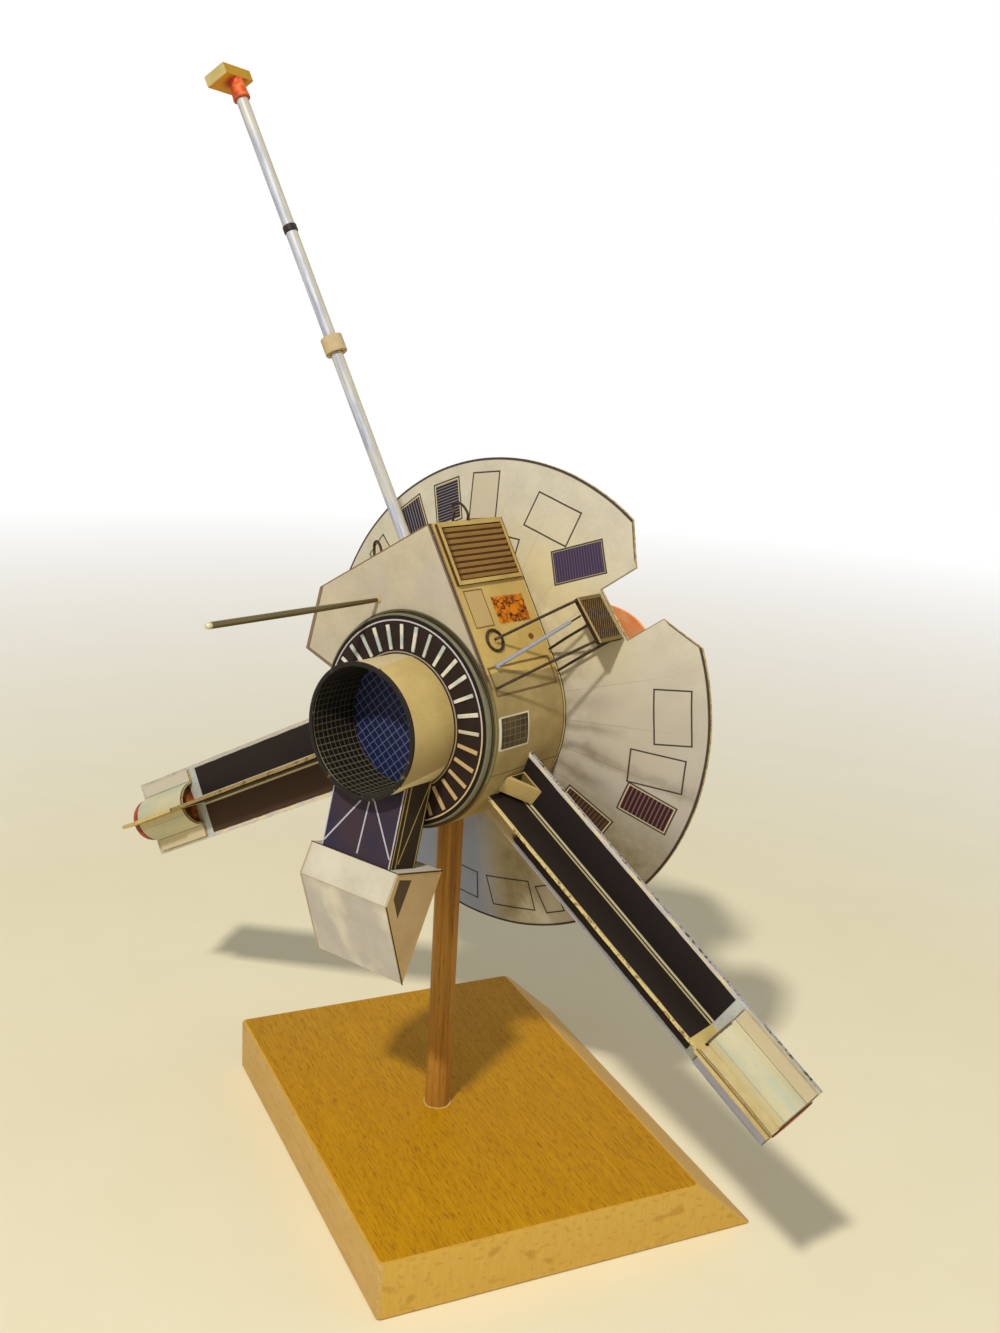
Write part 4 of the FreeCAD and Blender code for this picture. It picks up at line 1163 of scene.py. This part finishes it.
def arm_sheets(seed):
    """The arm's panel, its web and the strip along its fin, each with its own slight bends."""
    def panel(u, v, level):
        root = math.sqrt(DRUM_R ** 2 - (13.0 * (2 * v - 1)) ** 2)
        x = root + (ARM_REACH - root) * u
        low, high = [sign * (12.95 + wave(x / 11, seed * 3.0 + sign, 0) * 0.08
                             + wave(x / 2.5, seed * 5.0 + sign, 0) * 0.07)
                     for sign in (-1, 1)]
        y = low * (1 - v) + high * v
        return Vector((x, y, level + 0.15 * wave(x / 30, y / 20, seed)))

    def web(u, v, level):
        x = DRUM_R + (ARM_REACH - DRUM_R) * u
        z = 12.3 + 0.16 * wave(x / 5, seed, 2) if v == 1 else 0.5 + (12.4 * v - 0.5) * v
        return Vector((x, level + 0.35 * v * wave(x / 25, seed, 5), z))

    def strip(u, v, level):
        x = ARM_START + (ARM_REACH - ARM_START) * u
        bow = 0.12 * wave(x / 8, seed, 9)
        half = 0.5 + 0.12 * min(1.0, u * 3)
        return Vector((x, (2 * v - 1) * half + bow, level + bow * 0.5))

    return (sheet(90, 10, panel, 0.55, -0.55), sheet(48, 5, web, 0.55, -0.55),
            sheet(12, 2, strip, 13.3, 12.4))


def shroud(end):
    """Four folded quarters round the core, each with a flange at its side."""
    quarters = []
    for across in (1, -1):
        for face in (1, -1):
            path = arc(0, 0, across * 7.45, face * 7.4, 85.5, 9.5, 8)
            path += [(across * 7.7, face * 0.99), (across * 8.2, face * 0.96),
                     (across * 11.9, face * 0.95)]
            fold = slab(fold_outline(path, 0.62), ARM_START, end, 0, (1, 1))
            quarters.append(moved(fold, turn("Z", 90) @ turn("X", 90)))
    return join(*quarters)


def ribbed_core(end):
    profile = [(0, ARM_START + 1.5), (3.0, ARM_START + 1.7), (5.7, ARM_START + 2.0)]
    for k in range(9):
        x = ARM_START + 2.4 + 2.8 * k
        profile += [(6.3, x), (6.3, x + 1.8), (5.8, x + 2.0), (5.8, x + 2.6)]
    return moved(lathe(profile + [(6.3, end - 0.1), (0, end - 0.1)], 40), turn("Y", 90))


def gusset(upper):
    """A wedge at the arm's root, hollow on its outer side."""
    near, far, floor = 1.7, 7.3, 2.83
    root, tip, low, high, rim = DRUM_R - 0.3, DRUM_R + 7.6, 0.62, 9.0, 0.75
    wedge = ((root, low), (tip, low), (root, high))
    hollow = ((root + 0.2, low + rim), (tip - rim * 2.6, low + rim),
              (root + 0.2, high - rim * 2.6))
    return skin([[(x, upper * y, z) for x, z in shape] for shape, y in (
        (wedge, near), (wedge, far), (hollow, far + 0.01), (hollow, floor))],
        lambda k, i: int(k == 2), (0, 1))


def make_arms(tan):
    web_print, core_paint, cap_paint = arm_web_finish(), core_finish(), cap_finish()
    edge = cut_edge("arm card edge", (168, 164, 168), (66, 54, 50), 0.72, 9)
    strip_cards = [plain_card("fin strip card", (206, 184, 126), (176, 150, 94), 16),
                   plain_card("fin strip edge", (150, 126, 80), (110, 88, 52), 22)]
    gusset_cards = [plain_card("gusset card", (204, 178, 118), (182, 154, 94), 18),
                    cut_edge("gusset inside", (112, 92, 50), (150, 128, 74), 0.5, 7)]
    for side, degrees, upper, seed, end, low_half, flange, near_flange, web_edge, cap in ARMS:
        place = CRAFT @ turn("Z", degrees) @ shift(z=-20)
        panel, web, strip = arm_sheets(seed)
        panel_print = arm_panel_finish(side + " arm panel print", low_half, flange)
        shroud_card = shroud_finish(side + " shroud card", near_flange)
        piece(side + "_panel_card", panel, [panel_print, edge],
              [side + "_arm_panel"], place)
        piece(side + "_web_card", web, [web_print, cut_edge(*web_edge)],
              [side + "_arm_web"], place)
        piece(side + "_shroud_card", shroud(end), [shroud_card, tan],
              [side + "_generator_shroud"], place, 50, soft=0.06, segments=1)
        piece(side + "_core_rod", ribbed_core(end), [core_paint],
              [side + "_generator_core"], place)
        piece(side + "_cap_disc", lathe(cap, 48), [cap_paint],
              [side + "_generator_cap"], place @ shift(end) @ turn("Y", 90))
        piece(side + "_fin_cap", strip, strip_cards, [side + "_fin_strip"], place)
        piece(side + "_gusset_fold", gusset(upper), gusset_cards,
              [side + "_root_gusset"], place, soft=0.12)


# ---- boom

def boom_finish():
    """Rolled silver paper with brushed streaks, its long seam, and a warm cream painted on its
    lit side as painted light.
    """
    f = Finish("boom paper")
    x, y, z = f.split()
    streak = f.noise(0.8, 4, 3, (1, 1, 0.06), 0.6)
    patch = f.noise(6, 5, 3, (1, 1, 0.35)).above(0.56, 0.12)
    # painted light: the side towards the lamp is tinted a warm cream; the patches are real cream
    # spots
    warm_lit_side = (x * -0.71 - y * 0.61).above(0.55, 0.9)
    seam = (y.angle(x) + z * 0.004).near(-2.1, 0.09, 0.05)
    colour = f.mix((190, 193, 205), (146, 152, 172), streak.above(0.52, 0.16) * 0.7,
                   (212, 200, 156), (patch * 0.3).most(warm_lit_side * 0.6),
                   (120, 108, 86), seam * 0.7)
    return f.finish(colour, 0.5, streak - seam, 0.05, metallic=0.15)


def tape_finish():
    f = Finish("black tape")
    wrinkle = f.noise(1.2, 5, 3, (1, 1, 3))
    return f.finish(f.mix((38, 30, 26), (70, 56, 44), wrinkle.above(0.6, 0.1)), 0.5, wrinkle,
                    0.08)


def socket_finish():
    f = Finish("socket red")
    x, y, z = f.split()
    blot = f.noise(1.6, 3)
    shaded = (x * 0.71 + y * 0.61).above(0.5, 1.6) * 0.7
    colour = f.mix((242, 128, 66), (210, 84, 42), blot.above(0.5, 0.2),
                   (150, 46, 30), (z.below(151.3, 0.3) * 0.6).most(shaded))
    return f.finish(colour, 0.6, blot, 0.06)


def amber_finish():
    f, colour, relief = card("sensor amber", (214, 152, 36), (190, 122, 22), 22)
    x, y, _ = f.split()
    colour = f.mix(colour, (184, 66, 18), (x - 2.3).length(y - 6.1).below(3.6, 2.2) * 0.85)
    return f.finish(colour, 0.6, relief)


def rolled(low, high, step):
    """A rolled tube whose radius steps at its seam."""
    radius, rows, around, seam = 1.95, 18, 36, math.degrees(-2.1)
    return skin([[polar(radius - 0.03 - step * i / around + 0.02 * wave(i / 6, z / 7, radius),
                        seam + 360 * i / around, z) for i in range(around)]
                 for z in [low + (high - low) * j / rows for j in range(rows + 1)]])


def make_boom(tan):
    run, middle = SHOULDER - APEX, (APEX + SHOULDER) / 2
    base = (CRAFT @ shift(middle.x, middle.y, (BAY_AFT + BAY_FORE) / 2)
            @ turn("Z", math.degrees(math.atan2(run.y, run.x))) @ turn("X", 90))
    paper = boom_finish()
    for name, node, low, high, step in (("boom_roll_low", "boom_lower_tube", 0, 64.8, 0.1),
                                        ("boom_roll_mid", "boom_middle_tube", 70, 105.2, 0.08),
                                        ("boom_roll_top", "boom_upper_tube", 107.6, 150.8,
                                         0.09)):
        piece(name, rolled(low, high, step), [paper], [node], base, 30)
    collar_card = plain_card("collar card", (200, 181, 142), (178, 156, 112), 15)
    inner, outer, steps, turns = 2.15, 3.42, 160, 4
    spiral = [polar(inner + (outer - inner) * k / steps, 360 * turns * k / steps).xy
              for k in range(steps + 1)]
    piece("boom_collar_roll", slab(fold_outline(spiral, 0.27), 64.85, 69.95, 0, (1, 1)),
          [collar_card, tan], ["boom_collar"], base)
    band = [(1.9, 105.25), (2.12, 105.35), (2.2, 105.6), (2.18, 106.2), (2.2, 107.2),
            (2.12, 107.5), (1.9, 107.58)]
    piece("boom_tape", lathe(band, 40, closed=True), [tape_finish()],
          ["boom_band"], base)
    socket = [(0, 150.8), (2.62, 150.8), (2.66, 151.2), (2.5, 153), (2.3, 155.2),
              (2.35, 156.2), (2.6, 157.2), (0, 157.2)]
    piece("sensor_cone", lathe(socket, 36), [socket_finish()], ["sensor_socket"],
          base)
    finishes = [plain_card("sensor gold", (192, 148, 34), (172, 122, 22), 21, 0.6),
                amber_finish(),
                plain_card("sensor cream", (198, 184, 124), (172, 154, 96), 23)]
    block = brick(0.02, 8.58, 0.02, 12.18, 0.0, 3.78, lambda k, i: 2 * (i == 2), (1, 0))
    piece("sensor_case", block, finishes, ["sensor_box"],
          base @ turn("Z", 6) @ shift(2.0 - 4.3, -6.1, 157.2), soft=0.22, segments=3)


def make_aft_rod():
    f = Finish("brass rod")
    streak = f.noise(1.0, 6, 3, (1, 1, 0.08))
    colour = f.mix((126, 110, 72), (86, 74, 46), streak,
                   (222, 214, 180), f.split()[2].above(63.6, 0.8) * 0.9)
    brass = f.finish(colour, 0.42, streak, metallic=0.55)
    profile = [(0, 0)]
    for z in [64.2 * k / 13 for k in range(14)]:
        profile.append((0.62 + 0.32 * min(1.0, z / 30) + 0.02 * wave(z / 4, 3, 1), z))
    profile += [(0.86, 64.6), (0.6, 64.9), (0, 65.0)]
    piece("aft_rod_wire", lathe(profile, 24), [brass], ["aft_rod"],
          CRAFT @ shift(-14.7, 32.4, -2.5))


# ---- bracket and pod

def strokes(u, v, width, worn, *lines):
    """Straight pale lines between points of a face."""
    masks = []
    for u0, v0, u1, v1 in lines:
        a, b = Vector((u0, v0)), Vector((u1, v1))
        run = (b - a).normalized()
        along = (u - a.x) * run.x + (v - a.y) * run.y
        off = (v - a.y) * run.x - (u - a.x) * run.y
        masks.append(off.near(0, width) * along.within(0, (b - a).length) * worn)
    return either(*masks)


def bracket_front_finish():
    f = Finish("bracket front print")
    x, y, _ = f.split()
    cloud = f.noise(9, 5, 4)
    lines = strokes(x, y, 0.5, 0.75 + f.noise(1.2, 2) * 0.4,
                    (-12.9, -40, -12.9, -16), (-12.6, -38.4, -1.3, -23),
                    (0.4, -38.8, 1.2, -22), (2.4, -22, 12.3, -37.2),
                    (12.8, -40, 12.8, -16), (-1.3, -23, 6, -14))
    colour = f.mix((46, 40, 62), (58, 44, 52), cloud.above(0.5, 0.25),
                   (34, 34, 68), y.above(-22, 3) * 0.6, (186, 184, 196), lines)
    return f.finish(colour, 0.75, cloud)


def bracket_side_finish():
    f = Finish("bracket side print")
    _, y, z = f.split()
    cloud = f.noise(7, 9)
    lines = strokes(z, y, 0.4, 0.85, (8.2, -40, 8.2, -14), (6.4, -40, 6.4, -14),
                    (-1.8, -40, -1.8, -14), (-1.6, -15, 5.6, -38.5))
    return f.finish(f.mix((52, 38, 24), (34, 26, 20), cloud, (196, 166, 88), lines), 0.75,
                    cloud)


def pod_side_finish(name, pale, shade, seed, share):
    """A cool white face with diagonal folds that carry a soft painted sheen, and tan borders."""
    f, colour, relief = card(name, pale, shade, seed)
    x, y, _ = f.split()
    slant = (x * 0.92 + y * 0.39) * 0.3 + f.noise(20, 3, 2) * 6
    # The diagonal folds are raised and painted paler: a painted sheen.
    fold = f.math("SINE", slant).above(0.35, 0.9) * f.noise(14, 8, 2).above(0.48, 0.2)
    colour = f.mix(colour, (226, 219, 200), fold * share,
                   (150, 118, 70), abs(x).above(16.2, 0.15) * 0.6)
    return f.finish(colour, 0.78, relief + fold * 1.5, 0.06)


def pod_end_finish(outline):
    """The pod's warm end with a dark wedge and a tan border."""
    f, colour, relief = card("pod end card", (198, 170, 124), (182, 152, 108), 26)
    _, y, z = f.split()
    wedge = [(8.1, -41.8), (2.7, -42.1), (5.5, -53.2), (9.0, -47.2)]
    border, dark = [polygon(z, y, [Vector(p) for p in shape]) for shape in (outline, wedge)]
    colour = f.mix(colour, (208, 176, 104), border.above(-0.6, 0.15) * 0.85,
                   (62, 48, 30), dark.below(0, 0.15) * 0.92)
    return f.finish(colour, 0.8, relief)


def make_bracket_and_pod():
    tilt, foot = math.radians(11.6), -40.0
    lean = CRAFT @ turn("X", -11.6)

    def fold(u, v, z):
        """The bracket's top is cut to the can's curve."""
        x = 26.2 * u - 13.1
        top = (-math.sqrt(19.5 ** 2 - x * x) - math.sin(tilt) * z) / math.cos(tilt)
        return Vector((x, foot + (top - foot) * v, z))

    piece("bracket_fold", sheet(14, 8, fold, 8.9, -2.5),
          [bracket_front_finish(), bracket_side_finish()], ["pod_bracket"], lean,
          soft=0.1, segments=1, least=60)
    half, aft = 16.75, 9.3
    corners = [(aft, foot), (aft - 20.1, foot), (aft - 12.3, -73.4), (aft + 2.2, -49.4)]
    # One card in two copies: paler and warmer where lit, greyer and cooler on the long face:
    # painted light and shade.
    finishes = [pod_side_finish("pod card lit copy", (206, 200, 182), (188, 181, 162), 24, 0.35),
                pod_side_finish("pod card shaded copy", (194, 189, 182), (178, 172, 165), 27, 0.8),
                pod_end_finish(corners)]
    rings = [[(half * (k / 6 - 1), y, z) for z, y in corners] for k in range(13)]
    piece("pod_fold", skin(rings, lambda k, i: int(i == 2), (2, 2)), finishes,
          ["instrument_pod"], lean, 30, soft=0.18)

    def seam(kind, radius, steps, a, b):
        a, b = Vector((a[0], a[2], a[1])), Vector((b[0], b[2], b[1]))
        return painted(wire([a, (a + b) / 2, b], radius, steps, 6), kind)

    top, far, low, near = corners
    left, right = -half + 0.02, half - 0.02
    seams = [seam(kind, 0.14 + 0.06 * kind, 3, (x, *start), (x, *end))
             for x, kind, start, end in ((left, 0, top, near), (right, 0, top, near),
                                         (left, 0, near, low), (right, 1, near, low))]
    seams += [seam(kind, 0.15, 6, (-half, *spot), (half, *spot))
              for kind, spot in ((1, top), (0, near))]
    seams += [seam(1, 0.22, 3, (right, aft, foot - 0.1), (right, far[0], foot - 0.1)),
              painted(bead((half - 0.4, foot - 0.2, aft - 19.4), 0.55, 2), 0)]
    pale = cut_edge("pod fold paper", (196, 184, 156), (150, 132, 104), 0.5, 11)
    brown = cut_edge("pod seam ink", (66, 50, 30), (128, 102, 62), 0.4, 12)
    piece("pod_seams", join(*seams), [pale, brown], (), lean)


# ---- floor, light and camera

def seen(nodes):
    """1 for rays that come from the eye, from a shine or through glass."""
    rays = nodes.node("LightPath", {}, {})
    return either(*[Flow(nodes, rays.outputs["Is %s Ray" % kind])
                    for kind in ("Camera", "Glossy", "Transmission")])


def make_floor():
    """A pale plain floor that fades to white far off."""
    mesh = bpy.data.meshes.new("floor")
    mesh.from_pydata([(x, y, -0.0002) for x, y in oval(0, 0, 4.0, 4.0, 48)], [],
                     [list(range(48))])
    keep_spots(mesh)
    f = Finish("floor paper")
    x, y, _ = f.split()
    f.finish(f.mix((248, 240, 208), (243, 234, 200), f.noise(40, 0, 2)), 0.9)
    glow = f.node("Emission", {}, {"Color": (1, 1, 1, 1), "Strength": 1.0})
    far = f.math("ADD", (x.length(y) - 260) / 900, 0, clamp=True)
    blend = f.node("MixShader", {}, {0: seen(f) * far, 1: f.shader.outputs[0],
                                     2: glow.outputs[0]})
    f.feed(f.tree.nodes["Material Output"], {"Surface": blend.outputs[0]})
    mesh.materials.append(f.material)
    floor = put("floor", mesh)


def make_light():
    """A white background, dimmer as a light, and soft lamps."""
    world = bpy.data.worlds.new("studio")
    bpy.context.scene.world = world
    world.use_nodes = True
    studio = Nodes(world.node_tree)
    dim, out = [studio.tree.nodes[name] for name in ("Background", "World Output")]
    studio.feed(dim, {"Color": (1.0, 0.985, 0.96, 1), "Strength": 0.34})
    white = studio.node("Background", {}, {"Color": (1, 1, 1, 1)})
    blend = studio.node("MixShader", {}, {0: seen(studio), 1: dim.outputs[0],
                                          2: white.outputs[0]})
    studio.feed(out, {"Surface": blend.outputs[0]})
    for name, spot, wide, power, colour in (
            ("key", (-0.864, -0.828, 1.49), 0.1, 23.5, (1.0, 0.96, 0.88)),
            ("fill", (1.1, -0.7, 0.7), 0.9, 2.0, (0.95, 0.97, 1.0))):
        lamp = bpy.data.lights.new(name, "AREA")
        lamp.size, lamp.energy, lamp.color = wide, power, colour
        holder = put(name, lamp)
        holder.location = spot
        aim = Vector((0, 0, 0.14)) - Vector(spot)
        holder.rotation_euler = aim.to_track_quat("-Z", "Y").to_euler()


def make_camera():
    camera = bpy.data.cameras.new("camera")
    camera.lens, camera.sensor_width, camera.sensor_fit = 40.08, 36, "AUTO"
    camera.clip_start = 0.01
    holder = put("camera", camera)
    holder.location = (-0.17110, -0.38780, 0.28628)
    holder.rotation_euler = [math.radians(a) for a in (74.057, -3.096, -24.601)]
    bpy.context.scene.camera = holder
    bpy.context.scene.view_settings.view_transform = "Standard"


make_floor()
make_light()
make_camera()
make_board()
glue = make_peg()
tan = make_bay()
make_louvre_disc()
make_can()
make_side_louvre()
make_dish(tan)
make_feed()
make_thruster_boxes()
make_stays(glue)
make_arms(tan)
make_boom(tan)
make_aft_rod()
make_bracket_and_pod()
